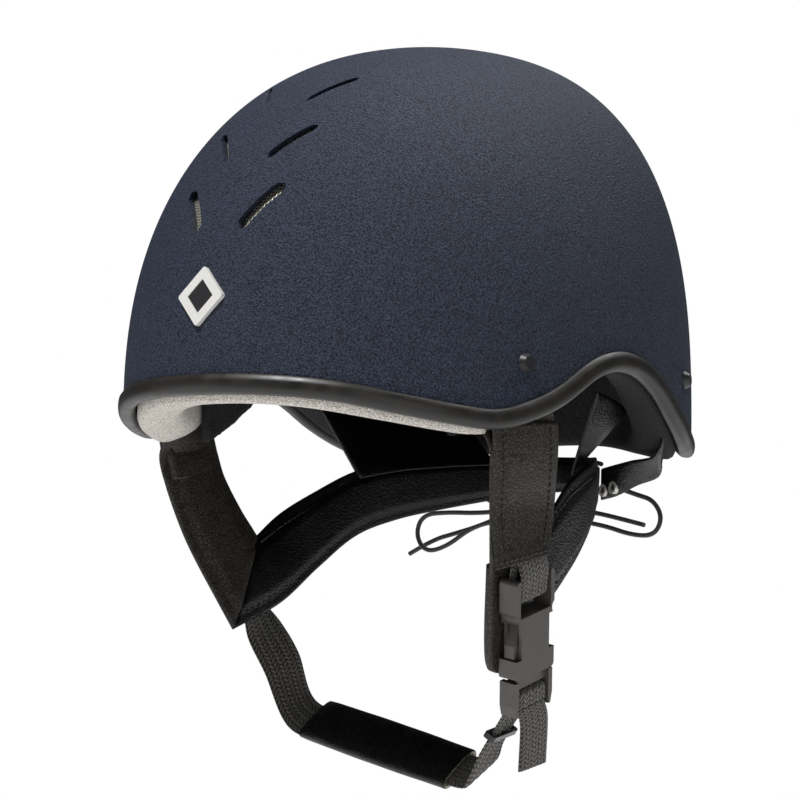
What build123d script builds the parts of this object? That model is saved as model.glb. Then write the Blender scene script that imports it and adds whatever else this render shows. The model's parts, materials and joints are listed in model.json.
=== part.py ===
from build123d import *
import os
from math import cos, pi, radians, sin, sqrt, tan

# A jockey-skull riding helmet. Millimetres, +Z up, the front is -Y, the wearer's left is +X.
# The origin is the centre of the head opening at the mean level of the rim.

os.makedirs("parts", exist_ok=True)

# ---- driving dimensions --------------------------------------------------------------------------
HALF_WIDTH = 110.0        # shell, outside, at the rim
HALF_LENGTH = 134.7       # shell, outside, at the rim
CROWN_HEIGHT = 164.4      # top of the shell above the origin
PLAN_POWER = 2.15         # fullness of the outline seen from above
CROWN_POWER = 2.44        # fullness of the outline seen from the front
CROWN_SET_BACK = 20.7     # how far the crown's top lies behind the rim's centre
EGG = 0.034               # how much wider the back is than the front
SHELL_WALL = 3.0
FOAM_OUTER = 3.9          # insets below are measured inwards from the shell's outside
FOAM_INNER = 21.0
LINING_INNER = 25.5
TRIM_HALF_HEIGHT = 4.2
TRIM_PROUD = 2.2
TRIM_INNER = 5.2
WEBBING_WIDTH = 19.0
WEBBING_THICKNESS = 1.8
LACE_DIAMETER = 2.2
FIT_GAP = 0.4

# Levels of the dome's cross-sections, as shares of the crown's height.
LEVELS = (-0.22, 0.0, 0.22, 0.42, 0.6, 0.74, 0.85, 0.92, 0.965, 0.988, 0.998)
SECTION_POINTS = 28

# The rim seen from the side, (y, z): a temple dip, an ear arch, a low back and a raised nape.
RIM = (
    (-150, 12.5), (-134, 11.3), (-117, 8.0), (-98, 2.8), (-76, -1.7), (-62, -2.9), (-48, 0.3),
    (-32, 6.8), (-14, 17.3), (-4, 21.2), (8, 22.7), (22, 20.5), (37.6, 13.2), (52.8, 3.1),
    (72, -7.0), (88, -11.2), (102, -10.5), (116, -6.0), (128, -1.5), (150, 1.0),
)


# ---- the dome's shape ----------------------------------------------------------------------------
def shrink(level):
    """Size of the cross-section at a level, as a share of its size at the rim."""
    if level < 0:
        return 1 - 1.4 * level ** 2
    return (1 - level ** CROWN_POWER) ** (1 / CROWN_POWER)


def section_points(level, inset):
    """Points round the dome's cross-section at a level."""
    half_width = (HALF_WIDTH - inset) * shrink(level)
    half_length = (HALF_LENGTH - inset) * shrink(level)
    set_back = CROWN_SET_BACK * max(level, 0) ** 2
    points = []
    for index in range(SECTION_POINTS):
        turn = 2 * pi * index / SECTION_POINTS
        radius = (abs(cos(turn)) ** PLAN_POWER + abs(sin(turn)) ** PLAN_POWER) ** (-1 / PLAN_POWER)
        across = cos(turn) * radius
        along = sin(turn) * radius
        points.append((half_width * across * (1 + EGG * along), half_length * along + set_back))
    return points


def dome_x(y, z, inset):
    """Half width of the dome at a place on its side."""
    level = z / (CROWN_HEIGHT - inset)
    set_back = CROWN_SET_BACK * max(level, 0) ** 2
    along = (y - set_back) / ((HALF_LENGTH - inset) * shrink(level))
    across = (1 - abs(along) ** PLAN_POWER) ** (1 / PLAN_POWER)
    return (HALF_WIDTH - inset) * shrink(level) * across * (1 + EGG * along)


def on_dome(y, z, inset):
    """Point on the wearer's left side of the dome."""
    return Vector(dome_x(y, z, inset), y, z)


def dome(inset):
    """Solid dome, down to well below the rim, its surface inset from the shell's outside."""
    with BuildPart() as solid:
        for level in LEVELS:
            with BuildSketch(Plane.XY.offset(level * (CROWN_HEIGHT - inset))):
                with BuildLine():
                    Spline(*section_points(level, inset), periodic=True)
                make_face()
        loft()
    return solid.part


def below_rim(drop):
    """Everything below the rim curve, with the curve moved down by drop, square to itself."""
    with BuildPart() as solid:
        with BuildSketch(Plane.YZ):
            with BuildLine():
                points = []
                for index, (y, z) in enumerate(RIM):
                    before = RIM[max(index - 1, 0)]
                    after = RIM[min(index + 1, len(RIM) - 1)]
                    run = Vector(after[0] - before[0], after[1] - before[1]).normalized()
                    points.append((y + drop * run.Y, z - drop * run.X))
                Spline(*points)
                Polyline(points[-1], (160, -80), (-160, -80), points[0])
            make_face()
        extrude(amount=160, both=True)
    return solid.part


def dome_band(outer_inset, inner_inset, top_drop, bottom_drop):
    """Band of the dome's wall round the rim, between two copies of the rim curve."""
    wall = dome(outer_inset) - dome(inner_inset)
    return (wall & below_rim(top_drop)) - below_rim(bottom_drop)


def block(low, high):
    """Plain box from its lowest corner to its highest."""
    with BuildPart() as solid:
        size = Vector(*high) - Vector(*low)
        with Locations((Vector(*low) + Vector(*high)) * 0.5):
            Box(size.X, size.Y, size.Z)
    return solid.part


# ---- ribbons: straps and flaps -------------------------------------------------------------------
def station_plane(stations, index, normal=None):
    """Plane of a ribbon's section: x runs from the first edge to the second, z runs along it."""
    first, second, _ = stations[index]
    before = stations[max(index - 1, 0)]
    after = stations[min(index + 1, len(stations) - 1)]
    run = (Vector(*after[0]) + Vector(*after[1])) - (Vector(*before[0]) + Vector(*before[1]))
    if normal is not None:
        run = Vector(*normal)
    across = (Vector(*second) - Vector(*first)).normalized()
    along = run - across * run.dot(across)
    middle = (Vector(*first) + Vector(*second)) * 0.5
    return Plane(origin=middle, x_dir=across, z_dir=along)


def ribbon(stations, grow=0.0, start_normal=None, end_normal=None):
    """Flat strap through stations of (one edge, other edge, thickness)."""
    last = len(stations) - 1
    with BuildPart() as solid:
        for index, (first, second, thickness) in enumerate(stations):
            normal = start_normal if index == 0 else end_normal if index == last else None
            width = (Vector(*second) - Vector(*first)).length
            with BuildSketch(station_plane(stations, index, normal)):
                Rectangle(width + 2 * grow, thickness + 2 * grow)
        loft(ruled=True)
    return solid.part


def other_side(shape):
    """The wearer's right-hand copy of a left-hand piece."""
    return mirror(shape, about=Plane.YZ)


def along(origin, direction, distance):
    """Point at a distance from another."""
    return Vector(*origin) + Vector(*direction) * distance


# ---- the dome's solids, made once ----------------------------------------------------------------
OUTSIDE = dome(0)
SHELL_INSIDE = dome(SHELL_WALL)
UNDER_SHELL = below_rim(1.0)

# ---- vents ---------------------------------------------------------------------------------------
# Each slot seen from the front, wearer's left: (inner x, inner z, outer x, outer z, width).
SLOTS = (
    (11.5, 131.0, 25.5, 141.3, 2.6),
    (11.5, 105.0, 27.0, 118.6, 3.8),
    (11.5, 74.5, 26.5, 93.1, 5.8),
)
SLOT_FROM = 40.0          # the slots are cut forwards from this far in front of the origin
SLOT_DEPTH = 120.0


def slot_cutters():
    """The six slots as one cutting body."""
    with BuildPart() as cutter:
        with BuildSketch(Plane.XZ.offset(SLOT_FROM)):
            for inner_x, inner_z, outer_x, outer_z, width in SLOTS:
                run = Vector(outer_x - inner_x, outer_z - inner_z)
                tilt = Vector(1, 0).get_signed_angle(run)
                middle = ((inner_x + outer_x) / 2, (inner_z + outer_z) / 2)
                for side in (1, -1):
                    with Locations((side * middle[0], middle[1])):
                        SlotCenterToCenter(run.length - width, width, rotation=side * tilt)
        extrude(amount=SLOT_DEPTH)
    return cutter.part


SLOT_CUTTERS = slot_cutters()

# ---- rivets --------------------------------------------------------------------------------------
RIVET_PLACES = ((-48.5, 20.0), (68.1, 17.6))      # (y, z) on the wearer's left
RIVET_SHANK = 2.2
RIVET_CAP = 4.0
RIVET_CAP_HEIGHT = 2.5
RIVET_REACH = 7.4
WASHER_RADIUS = 5.5
WASHER_THICKNESS = 0.8


def rivet_plane(y, z):
    """Plane on the shell's outside, facing outwards."""
    step = 0.5
    slope_y = (dome_x(y + step, z, 0) - dome_x(y - step, z, 0)) / (2 * step)
    slope_z = (dome_x(y, z + step, 0) - dome_x(y, z - step, 0)) / (2 * step)
    return Plane(origin=on_dome(y, z, 0), x_dir=(slope_y, 1, 0), z_dir=(1, -slope_y, -slope_z))


def rivet_holes(grow):
    """Cylinders through the shell at the four rivets, wider than the shank by grow."""
    with BuildPart() as cutter:
        for y, z in RIVET_PLACES:
            with BuildSketch(rivet_plane(y, z).offset(-20)):
                Circle(RIVET_SHANK + grow)
            extrude(amount=30)
        mirror(about=Plane.YZ)
    return cutter.part


RIVET_HOLES = rivet_holes(0.05)

# ---- leather straps of the wearer's left side: (one edge, other edge, thickness) ------------------
TIP_LEFT = (71.0, -37.0, -103.0)          # the left one is longer: it backs the buckle
TIP_RIGHT = (70.0, -38.0, -91.5)
APEX = (80.0, -12.0, -50.0)
MITRE_NORMAL = (-0.145, 0.88, -0.45)
PADDED = 6.0
FRONT_STRAP = (
    (on_dome(-63, 33, 4.5), on_dome(-37, 33, 4.5), 1.6),
    (on_dome(-63, 20, 4.5), on_dome(-35, 20, 4.5), 1.6),
    (on_dome(-63, 8, 7.4), on_dome(-31, 8, 7.4), 1.8),
    (on_dome(-61, -4, 9.8), on_dome(-23, -3, 10.4), 3.0),
    ((92.0, -59.5, -15.0), (96.0, -21.0, -13.0), 5.5),
    ((90.5, -57.5, -27.0), (93.0, -19.5, -24.0), 6.5),
    ((87.0, -54.0, -44.0), (87.0, -15.5, -38.0), 6.5),
    ((82.0, -50.0, -60.0), (82.5, -13.0, -46.0), PADDED),
)
REAR_FRONT_LEFT = (                        # the left one stands higher behind the buckle
    ((73.5, -3.0, -80.5), (81.0, 5.0, -30.0), PADDED),
    ((71.5, 20.0, -65.0), (76.5, 21.0, -23.0), PADDED),
    ((66.0, 40.0, -50.5), (68.5, 41.0, -18.0), 5.5),
)
REAR_FRONT_RIGHT = (
    ((73.5, -3.0, -80.5), (79.5, 3.0, -40.0), PADDED),
    ((71.5, 20.0, -65.0), (75.5, 21.0, -30.5), PADDED),
    ((66.0, 40.0, -50.5), (67.5, 41.0, -20.5), 5.5),
)
REAR_STRAP = (
    ((56.0, 57.0, -43.0), (57.0, 58.0, -16.5), 5.0),
    ((43.0, 76.0, -38.0), (44.0, 77.0, -15.0), 5.0),
    ((27.0, 95.0, -33.5), (28.0, 96.0, -14.5), 5.0),
)
NAPE_PANEL = (
    ((60.8, 36.9, -24.0), on_dome(29, 12, 28.0), 2.0),
    ((50.6, 54.0, -20.5), on_dome(54, 8, 28.0), 2.0),
    ((37.9, 72.4, -18.5), on_dome(76, 5, 28.0), 2.0),
    ((23.2, 90.1, -17.5), on_dome(92, 6, 28.0), 2.0),
)
LACE_FLAP = (
    (on_dome(57, 27, 4.7), on_dome(79, 27, 4.7), 1.6),
    (on_dome(57, 12, 4.9), on_dome(80, 12, 4.9), 1.6),
    (on_dome(61, -2, 7.8), on_dome(84, -3, 7.8), 1.8),
    (on_dome(66, -12, 10.5), on_dome(89, -16, 11.0), 2.0),
    ((76.0, 75.0, -15.5), (68.0, 92.5, -23.5), 2.0),
    ((58.0, 85.5, -16.5), (54.0, 95.5, -27.5), 2.0),
    ((44.0, 92.5, -18.0), (42.0, 97.0, -32.0), 2.0),
    ((33.0, 97.4, -19.5), (31.0, 99.7, -34.0), 2.0),
)
POCKET_GAP = 0.5

FRONT_POCKET = ribbon(FRONT_STRAP[:5], grow=POCKET_GAP)
REAR_POCKET = ribbon(LACE_FLAP[:4], grow=POCKET_GAP)

# ---- shell and what is on it ---------------------------------------------------------------------
with BuildPart() as outer_shell:
    add(OUTSIDE)
    add(SHELL_INSIDE, mode=Mode.SUBTRACT)
    add(UNDER_SHELL, mode=Mode.SUBTRACT)
    add(SLOT_CUTTERS, mode=Mode.SUBTRACT)
    add(RIVET_HOLES, mode=Mode.SUBTRACT)

with BuildPart() as edge_trim:
    add(dome_band(-TRIM_PROUD, TRIM_INNER, -TRIM_HALF_HEIGHT, TRIM_HALF_HEIGHT))
    add(outer_shell.part, mode=Mode.SUBTRACT)

BADGE_Z = 47.0
BADGE_HALF_WIDTH = 12.5
BADGE_HALF_HEIGHT = 12.8
BADGE_PROUD = 1.4
INLAY_SHARE = 0.56
INLAY_DEPTH = 0.6


def front_y(z, inset):
    """Where the dome's midline lies at the front."""
    level = z / (CROWN_HEIGHT - inset)
    return CROWN_SET_BACK * level ** 2 - (HALF_LENGTH - inset) * shrink(level)


front_slope = (front_y(BADGE_Z + 1, 0) - front_y(BADGE_Z - 1, 0)) / 2
badge_plane = Plane(origin=(0, front_y(BADGE_Z, 0), BADGE_Z), x_dir=(1, 0, 0), z_dir=(0, -1, front_slope))


def lozenge(share):
    """Corner points of the badge's lozenge, scaled by share."""
    return (
        (0, -BADGE_HALF_HEIGHT * share), (BADGE_HALF_WIDTH * share, 0),
        (0, BADGE_HALF_HEIGHT * share), (-BADGE_HALF_WIDTH * share, 0),
    )


with BuildPart() as badge_plate:
    with BuildSketch(badge_plane.offset(-2)):
        Polygon(*lozenge(1), align=None)
        fillet(vertices(), radius=1.2)
    extrude(amount=2 + BADGE_PROUD)
    with BuildSketch(badge_plane.offset(BADGE_PROUD - INLAY_DEPTH)):
        Polygon(*lozenge(INLAY_SHARE), align=None)
    extrude(amount=INLAY_DEPTH, mode=Mode.SUBTRACT)
    add(OUTSIDE, mode=Mode.SUBTRACT)

with BuildPart() as badge_inlay:
    with BuildSketch(badge_plane.offset(BADGE_PROUD - INLAY_DEPTH)):
        Polygon(*lozenge(INLAY_SHARE * 0.98), align=None)
    extrude(amount=INLAY_DEPTH * 0.7)

with BuildPart() as harness_rivets:
    for y, z in RIVET_PLACES:
        with BuildSketch(rivet_plane(y, z).offset(-RIVET_REACH)):
            Circle(RIVET_SHANK)
        extrude(amount=RIVET_REACH + 0.6)
        with BuildSketch(rivet_plane(y, z)):
            Circle(RIVET_CAP)
        extrude(amount=RIVET_CAP_HEIGHT, taper=28)
    add(OUTSIDE & block((70, -80, 0), (130, 100, 40)), mode=Mode.SUBTRACT)
    for y, z in RIVET_PLACES:
        with BuildSketch(rivet_plane(y, z).offset(-RIVET_REACH)):
            Circle(RIVET_SHANK)
        extrude(amount=RIVET_REACH + 0.6)
    mirror(about=Plane.YZ)

with BuildPart() as rivet_washers:
    for y, z in RIVET_PLACES:
        with BuildSketch(rivet_plane(y, z).offset(-RIVET_REACH)):
            Circle(WASHER_RADIUS)
            Circle(RIVET_SHANK + 0.05, mode=Mode.SUBTRACT)
        extrude(amount=WASHER_THICKNESS)
    mirror(about=Plane.YZ)

MESH_OUTER = 3.15
MESH_INNER = 3.7
with BuildPart() as vent_mesh_left:
    add(dome(MESH_OUTER))
    add(dome(MESH_INNER), mode=Mode.SUBTRACT)
    add(block((4, -150, 66), (36, -30, 149)), mode=Mode.INTERSECT)

with BuildPart() as vent_mesh_right:
    add(vent_mesh_left.part)
    mirror(about=Plane.YZ, mode=Mode.REPLACE)

# ---- foam and linings ----------------------------------------------------------------------------
FOAM_DROP = -5.0          # the foam ends this far above the rim


def washer_pockets():
    """Room in the foam for the washers of the four rivets."""
    with BuildPart() as cutter:
        for y, z in RIVET_PLACES:
            with BuildSketch(rivet_plane(y, z).offset(-RIVET_REACH - 0.4)):
                Circle(WASHER_RADIUS + 0.4)
            extrude(amount=6)
        mirror(about=Plane.YZ)
    return cutter.part


with BuildPart() as eps_liner:
    add(dome(FOAM_OUTER))
    add(dome(FOAM_INNER), mode=Mode.SUBTRACT)
    add(below_rim(FOAM_DROP), mode=Mode.SUBTRACT)
    add(SLOT_CUTTERS, mode=Mode.SUBTRACT)
    add(washer_pockets(), mode=Mode.SUBTRACT)
    for pocket in (FRONT_POCKET, REAR_POCKET):
        add(pocket, mode=Mode.SUBTRACT)
        add(other_side(pocket), mode=Mode.SUBTRACT)

LINING_TOP = 42.0
LINING_SPLIT = -57.0


def lining(roll_drop):
    """Felt round the foam's inner wall and under its edge, all the way round."""
    wall = dome(FOAM_INNER + 0.2) - dome(LINING_INNER)
    wall = (wall - below_rim(roll_drop)) & block((-150, -150, -60), (150, 150, LINING_TOP))
    roll = dome_band(5.9, LINING_INNER, FOAM_DROP + 0.4, roll_drop)
    return wall + roll


with BuildPart() as brow_lining:
    add(lining(7.5))
    add(block((-150, LINING_SPLIT, -60), (150, 160, 60)), mode=Mode.SUBTRACT)
    add(FRONT_POCKET, mode=Mode.SUBTRACT)
    add(other_side(FRONT_POCKET), mode=Mode.SUBTRACT)

with BuildPart() as nape_lining:
    add(lining(4.2))
    add(block((-150, -160, -60), (150, LINING_SPLIT + 0.3, 60)), mode=Mode.SUBTRACT)
    for pocket in (FRONT_POCKET, REAR_POCKET):
        add(pocket, mode=Mode.SUBTRACT)
        add(other_side(pocket), mode=Mode.SUBTRACT)

with BuildPart() as crown_pad:
    with BuildSketch(Plane.XY.offset(90)):
        with Locations((0, 16)):
            Circle(48)
    extrude(amount=80)
    add(dome(FOAM_INNER + 0.3), mode=Mode.INTERSECT)
    add(dome(29.5), mode=Mode.SUBTRACT)

with BuildPart() as side_pad_left:
    add(dome(LINING_INNER + 0.3) - dome(31.5))
    add(block((40, -56, -30), (120, -14, 34)), mode=Mode.INTERSECT)
    add(below_rim(7.0), mode=Mode.SUBTRACT)

with BuildPart() as side_pad_right:
    add(other_side(side_pad_left.part))

# ---- leather harness -----------------------------------------------------------------------------
with BuildPart() as front_strap_left:
    add(ribbon(FRONT_STRAP + ((TIP_LEFT, APEX, PADDED),), end_normal=MITRE_NORMAL))
    add(harness_rivets.part, mode=Mode.SUBTRACT)
    add(rivet_washers.part, mode=Mode.SUBTRACT)

with BuildPart() as front_strap_right:
    add(other_side(ribbon(FRONT_STRAP + ((TIP_RIGHT, APEX, PADDED),), end_normal=MITRE_NORMAL)))
    add(harness_rivets.part, mode=Mode.SUBTRACT)
    add(rivet_washers.part, mode=Mode.SUBTRACT)

with BuildPart() as rear_strap_left:
    add(ribbon(((TIP_LEFT, APEX, PADDED),) + REAR_FRONT_LEFT + REAR_STRAP, start_normal=MITRE_NORMAL))

with BuildPart() as rear_strap_right:
    right = ((TIP_RIGHT, APEX, PADDED),) + REAR_FRONT_RIGHT + REAR_STRAP
    add(other_side(ribbon(right, start_normal=MITRE_NORMAL)))

NAPE_ARC = (REAR_STRAP[-1], ((9.0, 104.5, -30.5), (9.0, 105.5, -14.0), 5.0))
with BuildPart() as nape_joiner:
    add(ribbon(NAPE_ARC, end_normal=(-1, 0.25, 0)))
    add(block((-200, 0, -100), (9.0, 200, 100)), mode=Mode.SUBTRACT)
    with BuildSketch(Plane.YZ.offset(-9.5)):
        with BuildLine():
            Polyline((102.1, -30.5), (107.1, -30.5), (108.0, -14.0), (103.0, -14.0), close=True)
        make_face()
    extrude(amount=19)
    mirror(about=Plane.YZ)
    add(rear_strap_left.part, mode=Mode.SUBTRACT)
    add(rear_strap_right.part, mode=Mode.SUBTRACT)

with BuildPart() as nape_panel_left:
    add(ribbon(NAPE_PANEL))

with BuildPart() as nape_panel_right:
    add(other_side(nape_panel_left.part))

EYELET_AXIS = (0.35, 0.93, -0.10)
EYELETS = ((41.0, 96.1, -28.4), (33.6, 98.6, -29.6))
EYELET_RADIUS = 2.9
EYELET_HOLE = 1.6
EYELET_LENGTH = 3.4


def eyelet_cylinders(radius):
    """Cylinders on both eyelets of the left flap."""
    with BuildPart() as solid:
        for place in EYELETS:
            with BuildSketch(Plane(origin=place, z_dir=EYELET_AXIS).offset(-EYELET_LENGTH / 2)):
                Circle(radius)
            extrude(amount=EYELET_LENGTH)
    return solid.part


with BuildPart() as lace_flap_left:
    add(ribbon(LACE_FLAP))
    add(eyelet_cylinders(EYELET_RADIUS), mode=Mode.SUBTRACT)
    add(harness_rivets.part, mode=Mode.SUBTRACT)
    add(rivet_washers.part, mode=Mode.SUBTRACT)

with BuildPart() as lace_flap_right:
    add(other_side(lace_flap_left.part))

with BuildPart() as lace_eyelets:
    add(eyelet_cylinders(EYELET_RADIUS))
    add(eyelet_cylinders(EYELET_HOLE), mode=Mode.SUBTRACT)
    mirror(about=Plane.YZ)

# ---- laces ---------------------------------------------------------------------------------------
KNOT = (-10.0, 103.5, -41.0)
KNOT_SIZE = (8.0, 6.4, 6.8)
KNOT_ROUNDING = 2.6
RIGHT_SWING = (
    (41.7, 98.0, -28.6), (48.5, 102.3, -31.6), (57.0, 103.5, -34.0), (62.0, 103.5, -42.0),
    (57.4, 103.5, -50.2), (45.0, 103.0, -49.8), (30.0, 103.0, -45.6), (13.0, 103.0, -43.2),
    (-7.0, 103.2, -42.0),
)
RIGHT_TAIL = (
    (-7.0, 105.0, -40.0), (6.0, 106.2, -38.8), (20.0, 106.4, -39.2), (36.0, 106.0, -42.2),
    (50.5, 105.4, -45.3),
)
LEFT_LOOP = (
    (-13.0, 102.6, -39.6), (-27.0, 101.6, -38.7), (-44.0, 101.4, -39.7), (-61.0, 101.2, -39.2),
    (-76.5, 101.0, -40.3), (-80.9, 101.0, -49.8), (-74.9, 101.0, -58.4), (-62.0, 101.4, -55.6),
    (-48.0, 101.6, -47.0), (-33.0, 101.6, -43.2), (-13.0, 103.0, -42.6),
)
LEFT_TAIL = (
    (-13.0, 105.2, -41.4), (-29.0, 106.6, -40.0), (-47.0, 106.6, -46.0), (-61.0, 106.2, -49.4),
    (-74.0, 105.6, -52.4), (-88.0, 105.0, -59.2),
)
LEFT_SWING = (
    (-41.9, 98.5, -28.7), (-38.6, 103.4, -34.0), (-28.0, 105.4, -37.0), (-13.0, 104.6, -38.6),
)
CROSS_STRAND = (
    (30.5, 99.9, -17.5), (20.0, 106.8, -16.0), (7.0, 110.2, -15.0), (-7.0, 110.2, -15.0),
    (-20.0, 106.8, -16.0), (-30.5, 99.9, -17.5),
)
BEND_SHARE = 0.45


def bend_radii(route):
    """Radius of the arc at each inside point of a cord's route."""
    radii = []
    for before, here, after in zip(route, route[1:], route[2:]):
        arriving = Vector(*here) - Vector(*before)
        leaving = Vector(*after) - Vector(*here)
        turn = radians(arriving.get_angle(leaving))
        radii.append(BEND_SHARE * min(arriving.length, leaving.length) / tan(turn / 2))
    return radii


def lace(route):
    """Round cord along a route: straight runs joined by tangent arcs."""
    radii = bend_radii(route)
    with BuildPart() as cord:
        with BuildLine() as path:
            FilletPolyline(*route, radius=radii)
        wire = path.wire()
        with BuildSketch(Plane(origin=wire @ 0, z_dir=wire % 0)):
            Circle(LACE_DIAMETER / 2)
        sweep(path=wire)
    section = pi * (LACE_DIAMETER / 2) ** 2
    print("cord length", round(wire.length, 1), "radii", [round(radius, 1) for radius in radii])
    print("volume over section times length", round(cord.part.volume / (section * wire.length), 3))
    return cord.part


with BuildPart() as lace_right_swing:
    add(lace(RIGHT_SWING))

with BuildPart() as lace_right_tail:
    add(lace(RIGHT_TAIL))

with BuildPart() as lace_left_loop:
    add(lace(LEFT_LOOP))

with BuildPart() as lace_left_tail:
    add(lace(LEFT_TAIL))

with BuildPart() as lace_left_swing:
    add(lace(LEFT_SWING))

with BuildPart() as lace_cross_strand:
    add(lace(CROSS_STRAND))

with BuildPart() as lace_knot:
    with Locations(KNOT):
        Box(*KNOT_SIZE)
    fillet(lace_knot.edges(), radius=KNOT_ROUNDING)

# ---- buckle --------------------------------------------------------------------------------------
# Its own frame: x rearwards along its width, y up towards the harness, z out from the face.
BUCKLE_CENTRE = (82.6, -23.1, -88.1)
BUCKLE_ACROSS = (0.0, 0.966, 0.256)
BUCKLE_OUT = (0.977, 0.054, -0.203)
BUCKLE = Plane(origin=BUCKLE_CENTRE, x_dir=BUCKLE_ACROSS, z_dir=BUCKLE_OUT)
BUCKLE_HALF_WIDTH = 13.0
FEMALE_TOP = 19.0
SHOULDER_TOP = 24.5
FEMALE_BOTTOM = -19.0
FEMALE_HALF_THICKNESS = 4.6
SLOT_HALF_WIDTH = 10.5
SLOT_LOW = 8.0
BAR_LOW = 15.5
BAR_HALF_THICKNESS = 2.0
MALE_TOP = -19.9
MALE_BOTTOM = -35.4
MALE_HALF_THICKNESS = 4.0
MALE_BAR = (-30.8, -27.2)
MALE_BAR_HALF_THICKNESS = 1.6
PRONG_OUTLINE = (
    (7.2, -19.6), (9.4, -19.6), (9.6, -9.9), (12.0, -9.7), (12.0, -4.0), (8.6, 4.5), (7.4, 4.5), (6.6, -4.0),
)
PRONG_HALF_THICKNESS = 2.4
WEBBING_HALF = WEBBING_WIDTH / 2


def buckle_block(x_half, y_low, y_high, z_low, z_high):
    """Box in the buckle's frame, centred on its width."""
    with BuildPart() as solid:
        with BuildSketch(BUCKLE.offset(z_low)):
            with Locations((0, (y_low + y_high) / 2)):
                Rectangle(2 * x_half, y_high - y_low)
        extrude(amount=z_high - z_low)
    return solid.part


def at_buckle(x, y, z):
    """Point of the shared frame for a point of the buckle's frame."""
    return BUCKLE.from_local_coords((x, y, z))


with BuildPart() as buckle_female:
    with BuildSketch(BUCKLE.offset(-FEMALE_HALF_THICKNESS)):
        with Locations((0, (SHOULDER_TOP + FEMALE_BOTTOM) / 2)):
            Rectangle(2 * BUCKLE_HALF_WIDTH, SHOULDER_TOP - FEMALE_BOTTOM)
        fillet(vertices(), radius=2.0)
        for side in (1, -1):
            with Locations((side * (BUCKLE_HALF_WIDTH + 1.6), 7.2)):
                Circle(3.2, mode=Mode.SUBTRACT)
    extrude(amount=2 * FEMALE_HALF_THICKNESS)
    add(buckle_block(SLOT_HALF_WIDTH, SLOT_LOW, BAR_LOW, -6, 6), mode=Mode.SUBTRACT)
    add(buckle_block(SLOT_HALF_WIDTH, FEMALE_TOP, SHOULDER_TOP + 1, -6, 6), mode=Mode.SUBTRACT)
    add(buckle_block(SLOT_HALF_WIDTH, BAR_LOW - 1, FEMALE_TOP + 1, BAR_HALF_THICKNESS, 6), mode=Mode.SUBTRACT)
    add(buckle_block(SLOT_HALF_WIDTH, BAR_LOW - 1, FEMALE_TOP + 1, -6, -BAR_HALF_THICKNESS), mode=Mode.SUBTRACT)
    add(buckle_block(11.0, FEMALE_BOTTOM - 1, 5.2, -2.8, 2.8), mode=Mode.SUBTRACT)
    add(buckle_block(12.35, FEMALE_BOTTOM - 1, -9, -2.7, 2.7), mode=Mode.SUBTRACT)
    with BuildSketch(BUCKLE.offset(-6)):
        for side in (1, -1):
            with Locations((side * 11.9, -2.4)):
                Rectangle(4.8, 15.4)
    extrude(amount=12, mode=Mode.SUBTRACT)

with BuildPart() as buckle_male:
    with BuildSketch(BUCKLE.offset(-MALE_HALF_THICKNESS)):
        Polygon(
            (-13, MALE_TOP), (13, MALE_TOP), (13, -30.5), (11.8, MALE_BOTTOM), (10.4, MALE_BOTTOM),
            (10.4, -24), (-10.4, -24), (-10.4, MALE_BOTTOM), (-11.8, MALE_BOTTOM), (-13, -30.5), align=None,
        )
    extrude(amount=2 * MALE_HALF_THICKNESS)
    add(buckle_block(10.4, -25, MALE_TOP + 1, 2.2, 5), mode=Mode.SUBTRACT)
    add(buckle_block(10.4, -25, MALE_TOP + 1, -5, -2.2), mode=Mode.SUBTRACT)
    add(buckle_block(10.6, MALE_BAR[0], MALE_BAR[1], -MALE_BAR_HALF_THICKNESS, MALE_BAR_HALF_THICKNESS))
    add(buckle_block(3.5, MALE_TOP - 1, 2.0, -1.5, 1.5))


def prong(side):
    """Springy side arm with its catch; side is 1 for the rear one and -1 for the front one."""
    with BuildPart() as arm:
        with BuildSketch(BUCKLE.offset(-PRONG_HALF_THICKNESS)):
            Polygon(*[(side * x, y) for x, y in PRONG_OUTLINE], align=None)
        extrude(amount=2 * PRONG_HALF_THICKNESS)
    return arm.part


with BuildPart() as prong_rear:
    add(prong(1))

with BuildPart() as prong_front:
    add(prong(-1))

SIDEWAYS = Plane(origin=BUCKLE_CENTRE, x_dir=BUCKLE.y_dir, z_dir=BUCKLE.x_dir)


def across_webbing(outline, half_width, hole=()):
    """Profile given as (y, z) of the buckle's frame, drawn out across the webbing's width."""
    with BuildPart() as solid:
        with BuildSketch(SIDEWAYS.offset(-half_width)):
            Polygon(*[(y, -z) for y, z in outline], align=None)
            if hole:
                Polygon(*[(y, -z) for y, z in hole], align=None, mode=Mode.SUBTRACT)
        extrude(amount=2 * half_width)
    return solid.part


LOOP_OUTLINE = (
    (13.6, -2.9), (14.6, -3.9), (19.6, -3.9), (25.0, -1.6), (31.0, 0.6), (32.5, 1.0), (32.5, 4.2),
    (26.0, 4.2), (19.6, 3.9), (14.6, 3.9), (13.6, 2.9),
)
LOOP_HOLE = ((15.2, -2.3), (19.5, -2.3), (25.0, 0.4), (27.0, 1.6), (25.0, 2.3), (15.2, 2.3))
with BuildPart() as buckle_loop:
    add(across_webbing(LOOP_OUTLINE, WEBBING_HALF, LOOP_HOLE))

# ---- chin strap ----------------------------------------------------------------------------------
PAD_START = (-44.0, -12.0, -131.0)
PAD_END = (38.0, -12.0, -149.0)
PAD_ALONG = Vector(PAD_END[0] - PAD_START[0], 0, PAD_END[2] - PAD_START[2]).normalized()
PAD_LENGTH = 83.9
PAD_WIDTH = 23.0
PAD_THICKNESS = 7.0
PAD_TILT = (0.0, 0.78, 0.62)


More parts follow.
